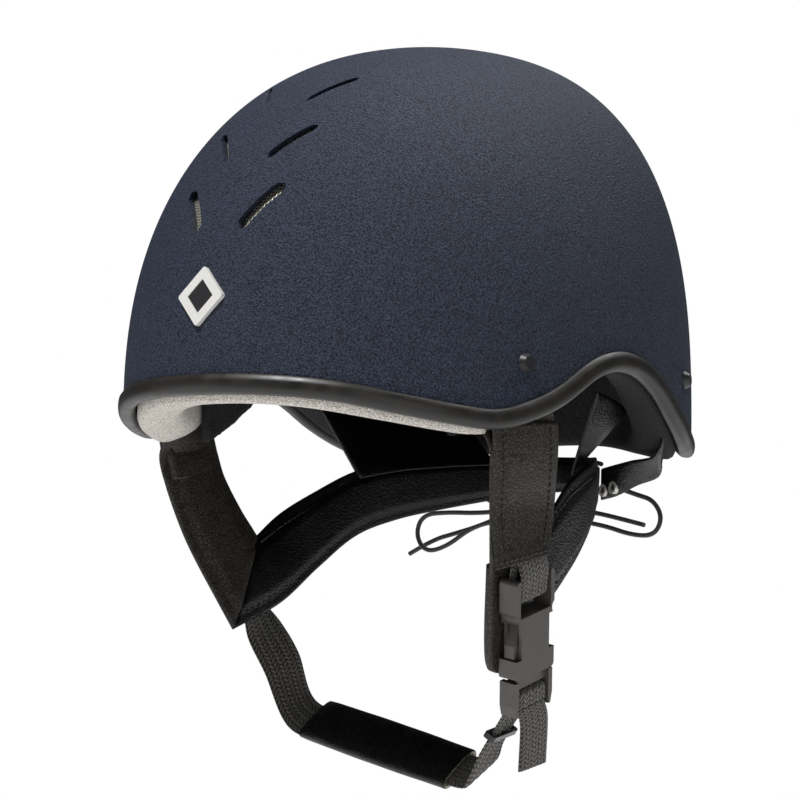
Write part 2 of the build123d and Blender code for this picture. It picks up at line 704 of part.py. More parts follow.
def strap_station(centre, across, thickness=WEBBING_THICKNESS):
    """Ribbon station of webbing width round a centre."""
    half = Vector(*across).normalized() * WEBBING_HALF
    middle = Vector(*centre)
    low = middle - half
    high = middle + half
    return ((low.X, low.Y, low.Z), (high.X, high.Y, high.Z), thickness)


tilt = Vector(*PAD_TILT)
tilt = (tilt - PAD_ALONG * tilt.dot(PAD_ALONG)).normalized()
PAD_ACROSS = (tilt.X, tilt.Y, tilt.Z)
before_pad = along(PAD_START, PAD_ALONG, -8.0)
after_pad = along(PAD_END, PAD_ALONG, 6.0)
KEEPER_LOW = (56.0, -13.0, -139.0)
KEEPER_HIGH = (64.2, -12.6, -127.4)
KEEPER_ACROSS = (-0.05, 0.95, 0.31)
STRAND_TOP = at_buckle(0, -32.0, -2.3)
CHIN_ROUTE = (
    strap_station((-77.6, -14.3, -85.0), (-0.10, 0.97, 0.22)),
    strap_station((-72.6, -13.8, -93.5), (0.25, 0.90, 0.36)),
    strap_station((-63.5, -13.0, -107.0), (0.33, 0.83, 0.45)),
    strap_station(before_pad, PAD_ACROSS),
    strap_station(after_pad, PAD_ACROSS),
    strap_station((50.5, -12.2, -148.0), (0.18, 0.85, 0.49)),
    strap_station(KEEPER_LOW, KEEPER_ACROSS),
    strap_station(KEEPER_HIGH, KEEPER_ACROSS),
    strap_station(STRAND_TOP, BUCKLE_ACROSS),
)

with BuildPart() as webbing_anchor:
    add(ribbon((
        strap_station((-80.9, -14.6, -70.0), (-0.03, 0.975, 0.22)),
        strap_station((-77.8, -14.3, -84.6), (-0.10, 0.97, 0.22)),
    )))

with BuildPart() as chin_webbing:
    add(ribbon(CHIN_ROUTE, end_normal=(0.45, 0.0, 0.89)))

TURN_OUTLINE = (
    (-32.8, -2.6), (-31.9, -3.6), (-26.1, -3.6), (-25.3, -2.6), (-25.3, 2.6), (-26.1, 3.6), (-31.9, 3.6),
    (-32.8, 2.6),
)
TURN_HOLE = ((-31.1, -1.9), (-26.9, -1.9), (-26.9, 1.9), (-31.1, 1.9))
with BuildPart() as webbing_turn:
    add(across_webbing(TURN_OUTLINE, WEBBING_HALF, TURN_HOLE))
    add(chin_webbing.part, mode=Mode.SUBTRACT)

TAIL_TOP = at_buckle(0, -33.3, 2.2)
with BuildPart() as webbing_tail:
    add(ribbon((
        strap_station(TAIL_TOP, BUCKLE_ACROSS),
        strap_station((75.4, -9.0, -127.5), (0.0, 0.975, 0.2)),
        strap_station((71.6, -5.4, -146.5), (0.0, 0.98, 0.17)),
    )))

with BuildPart() as chin_pad:
    with BuildSketch(Plane(origin=PAD_START, x_dir=PAD_ACROSS, z_dir=PAD_ALONG)):
        RectangleRounded(PAD_WIDTH, PAD_THICKNESS, 3.2)
        Rectangle(20.5, 2.7, mode=Mode.SUBTRACT)
    extrude(amount=PAD_LENGTH)

keeper_run = (Vector(*KEEPER_HIGH) - Vector(*KEEPER_LOW)).normalized()
with BuildPart() as strap_keeper:
    with BuildSketch(Plane(origin=along(KEEPER_LOW, keeper_run, 7.0), x_dir=KEEPER_ACROSS, z_dir=keeper_run)):
        RectangleRounded(23.0, 5.4, 1.6)
        Rectangle(20.2, 2.8, mode=Mode.SUBTRACT)
    extrude(amount=2.4)

# ---- pieces written ------------------------------------------------------------------------------
PIECES = {
    "outer_shell": outer_shell, "edge_trim": edge_trim, "badge_plate": badge_plate,
    "badge_inlay": badge_inlay, "harness_rivets": harness_rivets, "rivet_washers": rivet_washers,
    "vent_mesh_left": vent_mesh_left, "vent_mesh_right": vent_mesh_right, "eps_liner": eps_liner,
    "brow_lining": brow_lining, "nape_lining": nape_lining, "crown_pad": crown_pad,
    "side_pad_left": side_pad_left, "side_pad_right": side_pad_right,
    "front_strap_left": front_strap_left, "front_strap_right": front_strap_right,
    "rear_strap_left": rear_strap_left, "rear_strap_right": rear_strap_right,
    "nape_joiner": nape_joiner, "nape_panel_left": nape_panel_left, "nape_panel_right": nape_panel_right,
    "lace_flap_left": lace_flap_left, "lace_flap_right": lace_flap_right, "lace_eyelets": lace_eyelets,
    "lace_right_swing": lace_right_swing, "lace_right_tail": lace_right_tail,
    "lace_left_loop": lace_left_loop, "lace_left_tail": lace_left_tail, "lace_left_swing": lace_left_swing,
    "lace_cross_strand": lace_cross_strand, "lace_knot": lace_knot,
    "buckle_female": buckle_female, "buckle_male": buckle_male, "prong_front": prong_front,
    "prong_rear": prong_rear, "buckle_loop": buckle_loop, "webbing_anchor": webbing_anchor,
    "chin_webbing": chin_webbing, "webbing_turn": webbing_turn, "webbing_tail": webbing_tail,
    "chin_pad": chin_pad, "strap_keeper": strap_keeper,
}
for name, piece in PIECES.items():
    piece.part.label = name
    export_step(piece.part, f"parts/{name}.step")
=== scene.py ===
import json
from math import cos, pi, radians, sin, sqrt

import bmesh
import bpy
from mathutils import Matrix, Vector

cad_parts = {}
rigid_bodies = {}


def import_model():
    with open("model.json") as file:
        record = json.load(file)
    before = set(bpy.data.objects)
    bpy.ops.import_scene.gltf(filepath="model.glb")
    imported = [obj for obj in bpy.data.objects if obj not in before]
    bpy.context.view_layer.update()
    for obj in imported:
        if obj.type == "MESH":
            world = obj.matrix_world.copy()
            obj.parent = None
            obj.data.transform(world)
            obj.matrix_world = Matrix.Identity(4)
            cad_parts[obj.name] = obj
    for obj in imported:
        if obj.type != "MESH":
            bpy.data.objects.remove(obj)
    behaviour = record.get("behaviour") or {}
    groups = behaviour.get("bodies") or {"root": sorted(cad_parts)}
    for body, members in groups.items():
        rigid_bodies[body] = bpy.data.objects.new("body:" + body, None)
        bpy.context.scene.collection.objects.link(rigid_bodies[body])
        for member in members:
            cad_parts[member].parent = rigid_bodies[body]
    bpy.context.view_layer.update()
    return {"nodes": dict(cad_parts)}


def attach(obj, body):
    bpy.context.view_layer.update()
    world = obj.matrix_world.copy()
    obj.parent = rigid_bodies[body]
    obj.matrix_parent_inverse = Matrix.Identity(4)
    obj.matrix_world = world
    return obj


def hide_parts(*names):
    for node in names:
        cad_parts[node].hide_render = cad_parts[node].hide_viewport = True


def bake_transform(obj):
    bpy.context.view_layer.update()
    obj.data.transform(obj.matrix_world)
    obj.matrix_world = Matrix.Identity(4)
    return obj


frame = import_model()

# Lengths below are in millimetres unless a name says otherwise; MM turns them into Blender's metres.
MM = 0.001

# ---- the shape of the shell, as in the frame ------------------------------------------------------
HALF_WIDTH = 110.0
HALF_LENGTH = 134.7
CROWN_HEIGHT = 164.4
PLAN_POWER = 2.15
CROWN_POWER = 2.44
CROWN_SET_BACK = 20.7
EGG = 0.034
TUCK = 1.4                 # how fast the dome narrows below the rim's mean level
SHELL_WALL = 3.0
RIM = (
    (-150, 12.5), (-134, 11.3), (-117, 8.0), (-98, 2.8), (-76, -1.7), (-62, -2.9), (-48, 0.3),
    (-32, 6.8), (-14, 17.3), (-4, 21.2), (8, 22.7), (22, 20.5), (37.6, 13.2), (52.8, 3.1),
    (72, -7.0), (88, -11.2), (102, -10.5), (116, -6.0), (128, -1.5), (150, 1.0),
)
# Vents on the wearer's left, seen from the front: inner x, inner z, outer x, outer z, width.
SLOTS = (
    (11.5, 131.0, 25.5, 141.3, 2.6),
    (11.5, 105.0, 27.0, 118.6, 3.8),
    (11.5, 74.5, 26.5, 93.1, 5.8),
)


def catmull(points, share):
    """Smooth curve through points of any size, share running from 0 to 1."""
    spans = len(points) - 1
    place = min(max(share, 0.0), 1.0) * spans
    index = min(int(place), spans - 1)
    t = place - index
    p1, p2 = points[index], points[index + 1]
    p0 = points[index - 1] if index else [2 * a - b for a, b in zip(p1, p2)]
    p3 = points[index + 2] if index + 2 <= spans else [2 * b - a for a, b in zip(p1, p2)]
    return [
        0.5 * (
            2 * b + (c - a) * t + (2 * a - 5 * b + 4 * c - d) * t * t
            + (3 * b - a - 3 * c + d) * t ** 3
        )
        for a, b, c, d in zip(p0, p1, p2, p3)
    ]


def rim_height(y):
    """Height of the rim at a distance behind the origin."""
    for index in range(len(RIM) - 1):
        if y <= RIM[index + 1][0]:
            break
    (y1, z1), (y2, z2) = RIM[index], RIM[index + 1]
    before = RIM[max(index - 1, 0)]
    after = RIM[min(index + 2, len(RIM) - 1)]
    slope1 = (z2 - before[1]) / (y2 - before[0])
    slope2 = (after[1] - z1) / (after[0] - y1)
    span = y2 - y1
    t = min(max((y - y1) / span, 0.0), 1.0)
    return (
        (2 * t ** 3 - 3 * t ** 2 + 1) * z1 + (t ** 3 - 2 * t ** 2 + t) * span * slope1
        + (3 * t ** 2 - 2 * t ** 3) * z2 + (t ** 3 - t ** 2) * span * slope2
    )


def dome_point(turn, z, inset=0.0):
    """Point on the dome, turn going round from the wearer's left, inset inwards from the outside."""
    level = min(z / (CROWN_HEIGHT - inset), 1.0)
    if level < 0:
        size = 1 - TUCK * level ** 2
    else:
        size = (1 - level ** CROWN_POWER) ** (1 / CROWN_POWER)
    radius = (abs(cos(turn)) ** PLAN_POWER + abs(sin(turn)) ** PLAN_POWER) ** (-1 / PLAN_POWER)
    across = cos(turn) * radius
    along = sin(turn) * radius
    set_back = CROWN_SET_BACK * max(level, 0) ** 2
    x = (HALF_WIDTH - inset) * size * across * (1 + EGG * along)
    return Vector((x, (HALF_LENGTH - inset) * size * along + set_back, z))


def rim_point(turn, inset=0.0, drop=0.0):
    """Point on the dome at the rim, or drop below it."""
    z = 0.0
    for _ in range(12):
        z = rim_height(dome_point(turn, z, inset).y) - drop
    return dome_point(turn, z, inset)


def on_dome(y, z, inset):
    """Point on the wearer's left of the dome at a given y and z."""
    level = z / (CROWN_HEIGHT - inset)
    if level < 0:
        size = 1 - TUCK * level ** 2
    else:
        size = (1 - level ** CROWN_POWER) ** (1 / CROWN_POWER)
    along = (y - CROWN_SET_BACK * max(level, 0) ** 2) / ((HALF_LENGTH - inset) * size)
    across = (1 - abs(along) ** PLAN_POWER) ** (1 / PLAN_POWER)
    return ((HALF_WIDTH - inset) * size * across * (1 + EGG * along), y, z)


# ---- making objects -------------------------------------------------------------------------------
def new_object(name, verts, faces, material, slot, body="helmet", smooth=True, uvs=None):
    """Mesh object from points in millimetres."""
    mesh = bpy.data.meshes.new(name)
    mesh.from_pydata([tuple(c * MM for c in v) for v in verts], [], faces)
    mesh.validate()
    if uvs is not None:
        layer = mesh.uv_layers.new(name="strip")
        for loop in mesh.loops:
            layer.data[loop.index].uv = uvs[loop.vertex_index]
    obj = bpy.data.objects.new(name, mesh)
    bpy.context.scene.collection.objects.link(obj)
    fix = bmesh.new()
    fix.from_mesh(mesh)
    bmesh.ops.recalc_face_normals(fix, faces=fix.faces)
    fix.to_mesh(mesh)
    fix.free()
    for polygon in mesh.polygons:
        polygon.use_smooth = smooth
    mesh.materials.append(material)
    if body:
        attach(obj, body)
    return obj


def tube_faces(rings, size, caps=True, closed=False):
    """Faces of a tube of rings of the same size, laid one after another."""
    faces = []
    last = rings if closed else rings - 1
    for ring in range(last):
        here = ring * size
        there = ((ring + 1) % rings) * size
        for index in range(size):
            following = (index + 1) % size
            faces.append((here + index, here + following, there + following, there + index))
    if caps and not closed:
        faces.append(tuple(range(size))[::-1])
        faces.append(tuple(range((rings - 1) * size, rings * size)))
    return faces


def apply_modifiers(obj):
    """Bakes the object's modifiers into its mesh."""
    graph = bpy.context.evaluated_depsgraph_get()
    mesh = bpy.data.meshes.new_from_object(obj.evaluated_get(graph))
    obj.modifiers.clear()
    old = obj.data
    obj.data = mesh
    bpy.data.meshes.remove(old)


def smooth_by_angle(obj, degrees=35):
    """Smooth faces with sharp edges where the surface turns more than an angle."""
    for polygon in obj.data.polygons:
        polygon.use_smooth = True
    obj.data.set_sharp_from_angle(angle=radians(degrees))


# ---- materials ------------------------------------------------------------------------------------
def nodes_of(name, base, roughness, metallic=0.0, **sockets):
    """Material with a Principled shader; returns it with its node tree and shader."""
    material = bpy.data.materials.new(name)
    material.use_nodes = True
    tree = material.node_tree
    shader = tree.nodes["Principled BSDF"]
    shader.inputs["Base Color"].default_value = (*base, 1)
    shader.inputs["Roughness"].default_value = roughness
    shader.inputs["Metallic"].default_value = metallic
    for socket, value in sockets.items():
        shader.inputs[socket.replace("_", " ")].default_value = value
    return material, tree, shader


def coords(tree, kind="Object"):
    """Texture coordinates of a kind."""
    node = tree.nodes.get("coords") or tree.nodes.new("ShaderNodeTexCoord")
    node.name = "coords"
    return node.outputs[kind]


def noise(tree, scale, detail=2.0, roughness=0.5, stretch=None, source=None):
    """Noise of so many features to the metre."""
    node = tree.nodes.new("ShaderNodeTexNoise")
    node.inputs["Scale"].default_value = scale
    node.inputs["Detail"].default_value = detail
    node.inputs["Roughness"].default_value = roughness
    where = source or coords(tree)
    if stretch:
        mapping = tree.nodes.new("ShaderNodeMapping")
        mapping.inputs["Scale"].default_value = stretch
        tree.links.new(where, mapping.inputs["Vector"])
        where = mapping.outputs["Vector"]
    tree.links.new(where, node.inputs["Vector"])
    return node.outputs["Fac"]


def cells(tree, scale, feature="F1", randomness=1.0, source=None):
    """Distance output of a cell texture."""
    node = tree.nodes.new("ShaderNodeTexVoronoi")
    node.feature = feature
    node.inputs["Scale"].default_value = scale
    node.inputs["Randomness"].default_value = randomness
    tree.links.new(source or coords(tree), node.inputs["Vector"])
    return node.outputs["Distance"]


def ramp(tree, source, low, high, low_color, high_color):
    """Blend from one colour to another as the source goes from low to high."""
    node = tree.nodes.new("ShaderNodeValToRGB")
    node.color_ramp.elements[0].position = low
    node.color_ramp.elements[1].position = high
    node.color_ramp.elements[0].color = (*low_color, 1)
    node.color_ramp.elements[1].color = (*high_color, 1)
    tree.links.new(source, node.inputs["Fac"])
    return node.outputs["Color"]


def grey(value):
    """Grey colour."""
    return (value, value, value)


def maths(tree, operation, first, second=None):
    """Math node on sockets or numbers."""
    node = tree.nodes.new("ShaderNodeMath")
    node.operation = operation
    for socket, value in zip(node.inputs, (first, second)):
        if value is None:
            continue
        if isinstance(value, (int, float)):
            socket.default_value = value
        else:
            tree.links.new(value, socket)
    return node.outputs[0]


def bump(tree, height, strength, depth_mm, before=None):
    """Bump of a depth; chains onto an earlier bump."""
    node = tree.nodes.new("ShaderNodeBump")
    node.inputs["Strength"].default_value = strength
    node.inputs["Distance"].default_value = depth_mm * MM
    tree.links.new(height, node.inputs["Height"])
    if before is not None:
        tree.links.new(before, node.inputs["Normal"])
    return node.outputs["Normal"]


def shell_material():
    """Navy shell with a fine pebbled grain."""
    material, tree, shader = nodes_of("shell_grain", (0.012, 0.018, 0.035), 0.5, Specular_IOR_Level=0.3)
    grain = cells(tree, 1350, "SMOOTH_F1")
    fine = noise(tree, 1500, 3, 0.6)
    broad = noise(tree, 55, 3)
    tint = ramp(tree, fine, 0.41, 0.59, (0.0006, 0.0018, 0.007), (0.036, 0.049, 0.090))
    mix = tree.nodes.new("ShaderNodeMix")
    mix.data_type = "RGBA"
    mix.blend_type = "MULTIPLY"
    mix.inputs["Factor"].default_value = 0.5
    tree.links.new(tint, mix.inputs[6])
    tree.links.new(ramp(tree, broad, 0.3, 0.7, grey(0.8), grey(1.0)), mix.inputs[7])
    tree.links.new(mix.outputs[2], shader.inputs["Base Color"])
    normal = bump(tree, grain, 0.8, 0.7)
    normal = bump(tree, fine, 1.0, 0.8, normal)
    tree.links.new(normal, shader.inputs["Normal"])
    tree.links.new(ramp(tree, fine, 0.35, 0.65, grey(0.66), grey(0.5)), shader.inputs["Roughness"])
    return material


def rubber_material():
    """Satin brown-black rubber of the edge trim."""
    material, tree, shader = nodes_of("trim_rubber", (0.016, 0.014, 0.0125), 0.4, Specular_IOR_Level=0.5)
    wear = noise(tree, 160, 4)
    tree.links.new(ramp(tree, wear, 0.3, 0.75, (0.009, 0.008, 0.007), (0.020, 0.0175, 0.0155)),
                   shader.inputs["Base Color"])
    tree.links.new(ramp(tree, wear, 0.3, 0.7, grey(0.34), grey(0.48)), shader.inputs["Roughness"])
    tree.links.new(bump(tree, noise(tree, 900, 3), 0.25, 0.08), shader.inputs["Normal"])
    return material


def leather_material(name, base, light, roughness):
    """Soft grained leather, with painted shade darkening its creases."""
    material, tree, shader = nodes_of(name, base, roughness, Specular_IOR_Level=0.32)
    creases = cells(tree, 620, "DISTANCE_TO_EDGE")
    folds = noise(tree, 60, 4, 0.6, stretch=(1, 1, 0.45))
    # colour runs from base in the creases to light on the cell tops: painted shade in the grain's creases
    tree.links.new(ramp(tree, creases, 0.0, 0.25, base, light), shader.inputs["Base Color"])
    normal = bump(tree, folds, 0.6, 1.6)
    normal = bump(tree, ramp(tree, creases, 0.0, 0.3, grey(0.0), grey(1.0)), 0.6, 0.2, normal)
    normal = bump(tree, noise(tree, 1300, 3), 0.5, 0.16, normal)
    tree.links.new(normal, shader.inputs["Normal"])
    tree.links.new(ramp(tree, folds, 0.35, 0.7, grey(roughness - 0.08), grey(roughness + 0.1)),
                   shader.inputs["Roughness"])
    return material


def felt_material(name, dark, light, fleck):
    """Short felt with flecks."""
    material, tree, shader = nodes_of(name, dark, 0.95, Specular_IOR_Level=0.15)
    fibres = noise(tree, 1800, 5, 0.7)
    tree.links.new(ramp(tree, fibres, 0.38, fleck, dark, light), shader.inputs["Base Color"])
    normal = bump(tree, noise(tree, 700, 5, 0.7), 0.7, 0.35)
    tree.links.new(bump(tree, fibres, 0.6, 0.2, normal), shader.inputs["Normal"])
    return material


WEAVE_COLUMN = 2.2
WEAVE_ROW = 2.1
WEAVE_LEAN = 0.9 * pi / WEAVE_ROW


def weave_rib(across, along):
    """Height of the webbing's ribs, from -1 to 1, at a place on its face in millimetres."""
    zigzag = abs((across - WEAVE_COLUMN) / (2 * WEAVE_COLUMN) % 1 * 2 * WEAVE_COLUMN - WEAVE_COLUMN)
    return -cos(2 * (pi * along / WEAVE_ROW + WEAVE_LEAN * zigzag))


def weave_material(name, dark, light, depth_mm):
    """Woven webbing: ribs across its width, read from strip coordinates in millimetres; its colour follows
    the ribs' height as painted light and shade.
    """
    material, tree, shader = nodes_of(name, dark, 0.62, Sheen_Weight=0.3, Sheen_Roughness=0.4)
    split = tree.nodes.new("ShaderNodeSeparateXYZ")
    tree.links.new(coords(tree, "UV"), split.inputs["Vector"])
    u, v = split.outputs["X"], split.outputs["Y"]
    column = maths(tree, "MULTIPLY", u, pi / WEAVE_COLUMN)
    row = maths(tree, "MULTIPLY", v, pi / WEAVE_ROW)
    lean = maths(tree, "MULTIPLY", maths(tree, "PINGPONG", u, WEAVE_COLUMN), WEAVE_LEAN)
    ribs = maths(tree, "ABSOLUTE", maths(tree, "SINE", maths(tree, "ADD", row, lean)))
    threads = maths(tree, "ABSOLUTE", maths(tree, "SINE", column))
    height = maths(tree, "MULTIPLY", maths(tree, "POWER", ribs, 0.6), maths(tree, "POWER", threads, 0.4))
    fray = noise(tree, 2400, 3)
    height = maths(tree, "ADD", height, maths(tree, "MULTIPLY", fray, 0.25))
    # colour follows the weave's height: painted shade in the grooves and painted highlight on the rib tops,
    # with random flecks from the fray noise
    tree.links.new(ramp(tree, height, 0.5, 1.15, dark, light), shader.inputs["Base Color"])
    tree.links.new(bump(tree, height, 0.9, depth_mm), shader.inputs["Normal"])
    return material


def plastic_material():
    """Satin moulded plastic of the buckle."""
    material, tree, shader = nodes_of("buckle_plastic", (0.042, 0.038, 0.034), 0.38, Specular_IOR_Level=0.5)
    haze = noise(tree, 220, 3)
    tree.links.new(ramp(tree, haze, 0.3, 0.7, (0.058, 0.053, 0.047), (0.074, 0.068, 0.061)),
                   shader.inputs["Base Color"])
    tree.links.new(ramp(tree, haze, 0.3, 0.7, grey(0.33), grey(0.44)), shader.inputs["Roughness"])
    tree.links.new(bump(tree, noise(tree, 1700, 2), 0.3, 0.05), shader.inputs["Normal"])
    return material


def foam_material():
    """Beaded foam, with painted shade in the seams between the beads."""
    material, tree, shader = nodes_of("beaded_foam", (0.02, 0.02, 0.022), 0.85)
    beads = cells(tree, 320, "DISTANCE_TO_EDGE")
    # darker where the beads meet: painted shade in the seams between them
    tree.links.new(ramp(tree, beads, 0.0, 0.2, grey(0.008), grey(0.03)), shader.inputs["Base Color"])
    swollen = ramp(tree, beads, 0.0, 0.3, grey(0.0), grey(1.0))
    tree.links.new(bump(tree, swollen, 0.6, 0.4), shader.inputs["Normal"])
    return material


def metal_material(name, base, roughness, metallic=1.0):
    """Bright metal with fine scratches."""
    material, tree, shader = nodes_of(name, base, roughness, metallic=metallic)
    scratches = noise(tree, 500, 4, stretch=(6, 1, 1))
    tree.links.new(ramp(tree, scratches, 0.3, 0.7, grey(roughness), grey(roughness + 0.14)),
                   shader.inputs["Roughness"])
    tree.links.new(bump(tree, scratches, 0.12, 0.03), shader.inputs["Normal"])
    return material


def enamel_material(name, base, roughness):
    """Painted metal or enamel."""
    material, tree, shader = nodes_of(name, base, roughness)
    speck = noise(tree, 900, 3)
    lighter = tuple(c * 1.6 for c in base)
    tree.links.new(ramp(tree, speck, 0.3, 0.75, base, lighter), shader.inputs["Base Color"])
    tree.links.new(bump(tree, speck, 0.2, 0.04), shader.inputs["Normal"])
    return material


WIRE_PITCH = 0.0013        # metres between the mesh's wires


def wire_material():
    """Fine woven wire: crossing threads with dark gaps."""
    material, tree, shader = nodes_of("woven_wire", (0.5, 0.5, 0.47), 0.4, metallic=0.8)
    split = tree.nodes.new("ShaderNodeSeparateXYZ")
    tree.links.new(coords(tree), split.inputs["Vector"])
    threads = []
    for direction in ("X", "Z"):
        phase = maths(tree, "MULTIPLY", split.outputs[direction], pi / WIRE_PITCH)
        threads.append(maths(tree, "ABSOLUTE", maths(tree, "SINE", phase)))
    wires = maths(tree, "MAXIMUM", *threads)
    tree.links.new(ramp(tree, wires, 0.72, 0.86, grey(0.01), (0.62, 0.60, 0.5)), shader.inputs["Base Color"])
    tree.links.new(bump(tree, wires, 0.8, 0.3), shader.inputs["Normal"])
    return material


def cord_material():
    """Braided round lace."""
    material, tree, shader = nodes_of("lace_braid", (0.012, 0.012, 0.013), 0.7, Sheen_Weight=0.3)
    braid = cells(tree, 1300, "F1", 0.3)
    tree.links.new(ramp(tree, braid, 0.1, 0.6, grey(0.03), grey(0.006)), shader.inputs["Base Color"])
    tree.links.new(bump(tree, braid, 0.7, 0.2), shader.inputs["Normal"])
    return material


SHELL = shell_material()
TRIM = rubber_material()
# For each leather, the first colour is the painted shade in its creases and the second the leather's own
# tone.
LEATHER = leather_material("leather_black", (0.0010, 0.0010, 0.0009), (0.0026, 0.0025, 0.0023), 0.36)
LEATHER_OUT = leather_material("leather_worn", (0.013, 0.0115, 0.0098), (0.052, 0.046, 0.039), 0.44)
CREAM = felt_material("cream_lining", (0.42, 0.38, 0.31), (0.62, 0.58, 0.5), 0.62)
LIGHT_FELT = felt_material("felt_light", (0.17, 0.155, 0.138), (0.82, 0.78, 0.72), 0.6)
DARK_FELT = felt_material("felt_dark", (0.006, 0.006, 0.0065), (0.05, 0.05, 0.051), 0.7)
# webbing: the black is the painted shade of the grooves and the brownish colour the painted highlight of the
# rib tops, with random flecks from the fray
WEBBING = weave_material("webbing_weave", (0.0010, 0.0010, 0.0010), (0.115, 0.102, 0.088), 0.9)
PLASTIC = plastic_material()
FOAM = foam_material()
CHROME = metal_material("badge_metal", (0.9, 0.89, 0.86), 0.28, 0.25)
EYELET = metal_material("eyelet_metal", (0.72, 0.70, 0.64), 0.24, 0.5)
RIVET = enamel_material("rivet_paint", (0.016, 0.016, 0.018), 0.38)
INLAY = enamel_material("badge_enamel", (0.02, 0.02, 0.022), 0.3)
WASHER = metal_material("washer_metal", (0.5, 0.5, 0.5), 0.35)
KEEPER = enamel_material("keeper_elastic", (0.012, 0.0115, 0.011), 0.28)
WIRE = wire_material()
LACE = cord_material()
THREAD = cord_material()
THREAD.name = "stitch_thread"

# ---- shell ----------------------------------------------------------------------------------------
COLUMNS = 216
ROWS = 66
RIM_DROP = -1.0            # the shell's edge stops this far above the rim, inside the trim


def dome_grid(inset, drop):
    """Vertices and faces of a dome from the rim to its crown."""
    verts, faces = [], []
    for column in range(COLUMNS):
        turn = 2 * pi * column / COLUMNS
        start = rim_point(turn, inset, drop)
        top = CROWN_HEIGHT - inset
        for row in range(ROWS):
            share = sin(row / ROWS * pi / 2) ** 0.85
            verts.append(dome_point(turn, start.z + (top - start.z) * share, inset))
    crown = len(verts)
    verts.append(Vector((0, CROWN_SET_BACK, CROWN_HEIGHT - inset)))
    for column in range(COLUMNS):
        here = column * ROWS
        there = (column + 1) % COLUMNS * ROWS
        for row in range(ROWS - 1):
            faces.append((here + row, there + row, there + row + 1, here + row + 1))
        faces.append((here + ROWS - 1, there + ROWS - 1, crown))
    return verts, faces


VENT_BOW = 0.045           # bow of a vent, as a share of its length
VENT_STEPS = 12
CUTTER_ENDS = (-165, -45)


def slot_cutter(slot, side):
    """Closed prism along Y with the outline of one slightly bowed vent."""
    inner_x, inner_z, outer_x, outer_z, width = slot
    start = Vector((inner_x, 0, inner_z))
    run = Vector((outer_x - inner_x, 0, outer_z - inner_z))
    across = Vector((-run.z, 0, run.x)).normalized()
    half = width / 2
    upper, lower = [], []
    for index in range(VENT_STEPS + 1):
        share = index / VENT_STEPS
        point = start + run * share + across * (VENT_BOW * run.length * sin(pi * share))
        taper = (1 - abs(2 * share - 1) ** 9) ** 0.5 if 0 < index < VENT_STEPS else 0.0
        upper.append(point + across * half * taper)
        lower.append(point - across * half * taper)
    outline = upper + lower[-2:0:-1]
    verts = []
    for y in CUTTER_ENDS:
        verts += [Vector((side * p.x, y, p.z)) for p in outline]
    return verts, tube_faces(2, len(outline))


def make_shell():
    """Shell with its wall, its six vents and softened vent edges."""
    verts, faces = dome_grid(0, RIM_DROP)
    inner_verts, inner_faces = dome_grid(SHELL_WALL, RIM_DROP)
    offset = len(verts)
    faces += [tuple(index + offset for index in face[::-1]) for face in inner_faces]
    verts += inner_verts
    for column in range(COLUMNS):
        here = column * ROWS
        there = (column + 1) % COLUMNS * ROWS
        faces.append((here, here + offset, there + offset, there))
    shell = new_object("shell", verts, faces, SHELL, "shell")
    cut = bpy.data.collections.new("cutters")
    for slot in SLOTS:
        for side in (1, -1):
            cutter = new_object("cutter", *slot_cutter(slot, side), SHELL, None, body=None)
            bpy.context.scene.collection.objects.unlink(cutter)
            cut.objects.link(cutter)
    bpy.context.scene.collection.children.link(cut)
    boolean = shell.modifiers.new("vents", "BOOLEAN")
    boolean.operand_type = "COLLECTION"
    boolean.collection = cut
    boolean.solver = "EXACT"
    bevel = shell.modifiers.new("edges", "BEVEL")
    bevel.width = 0.5 * MM
    bevel.segments = 2
    bevel.angle_limit = radians(55)
    apply_modifiers(shell)
    for cutter in list(cut.objects):
        bpy.data.objects.remove(cutter)
    bpy.data.collections.remove(cut)
    smooth_by_angle(shell, 40)
    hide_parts("outer_shell")


make_shell()


def rounded_profile(low_inset, high_inset, low_drop, high_drop, power=3.0, count=22):
    """Superellipse profile between limits."""
    points = []
    for index in range(count):
        turn = 2 * pi * index / count
        c, s = cos(turn), sin(turn)
        radius = (abs(c) ** power + abs(s) ** power) ** (-1 / power)
        points.append((
            (low_inset + high_inset) / 2 + (high_inset - low_inset) / 2 * c * radius,
            (low_drop + high_drop) / 2 + (high_drop - low_drop) / 2 * s * radius,
        ))
    return points


TRIM_PROUD = 2.2
TRIM_INNER = 5.2
TRIM_HALF_HEIGHT = 4.3
TRIM_STEPS = 300


def make_trim():
    """Rubber edge trim with a shallow groove along its outside."""
    profile = []
    for inset, drop in rounded_profile(-TRIM_PROUD, TRIM_INNER, -TRIM_HALF_HEIGHT, TRIM_HALF_HEIGHT, 2.6, 26):
        if inset < 0 and -3.6 < drop < -2.2:
            inset += 0.35
        profile.append((inset, drop))
    verts = []
    for index in range(TRIM_STEPS):
        turn = 2 * pi * index / TRIM_STEPS
        here = rim_point(turn)
        ahead = rim_point(turn + 0.01)
        tangent = (ahead - here).normalized()
        up_wall = dome_point(turn, here.z + 1.0) - here
        outward = tangent.cross(up_wall).normalized()
        down = outward.cross(tangent).normalized()
        if down.z > 0:
            down = -down
        for inset, drop in profile:
            verts.append(here - outward * inset + down * drop)
    faces = tube_faces(TRIM_STEPS, len(profile), closed=True)
    trim = new_object("edge_trim_bead", verts, faces, TRIM, "trim")
    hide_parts("edge_trim")


make_trim()

# ---- linings --------------------------------------------------------------------------------------
LINING_SPLIT = -57.0       # y at which the pale cloth gives way to the dark one
LINING_TOP = 42.0
LINING_INNER = 25.6
LINING_OUTER = 21.3


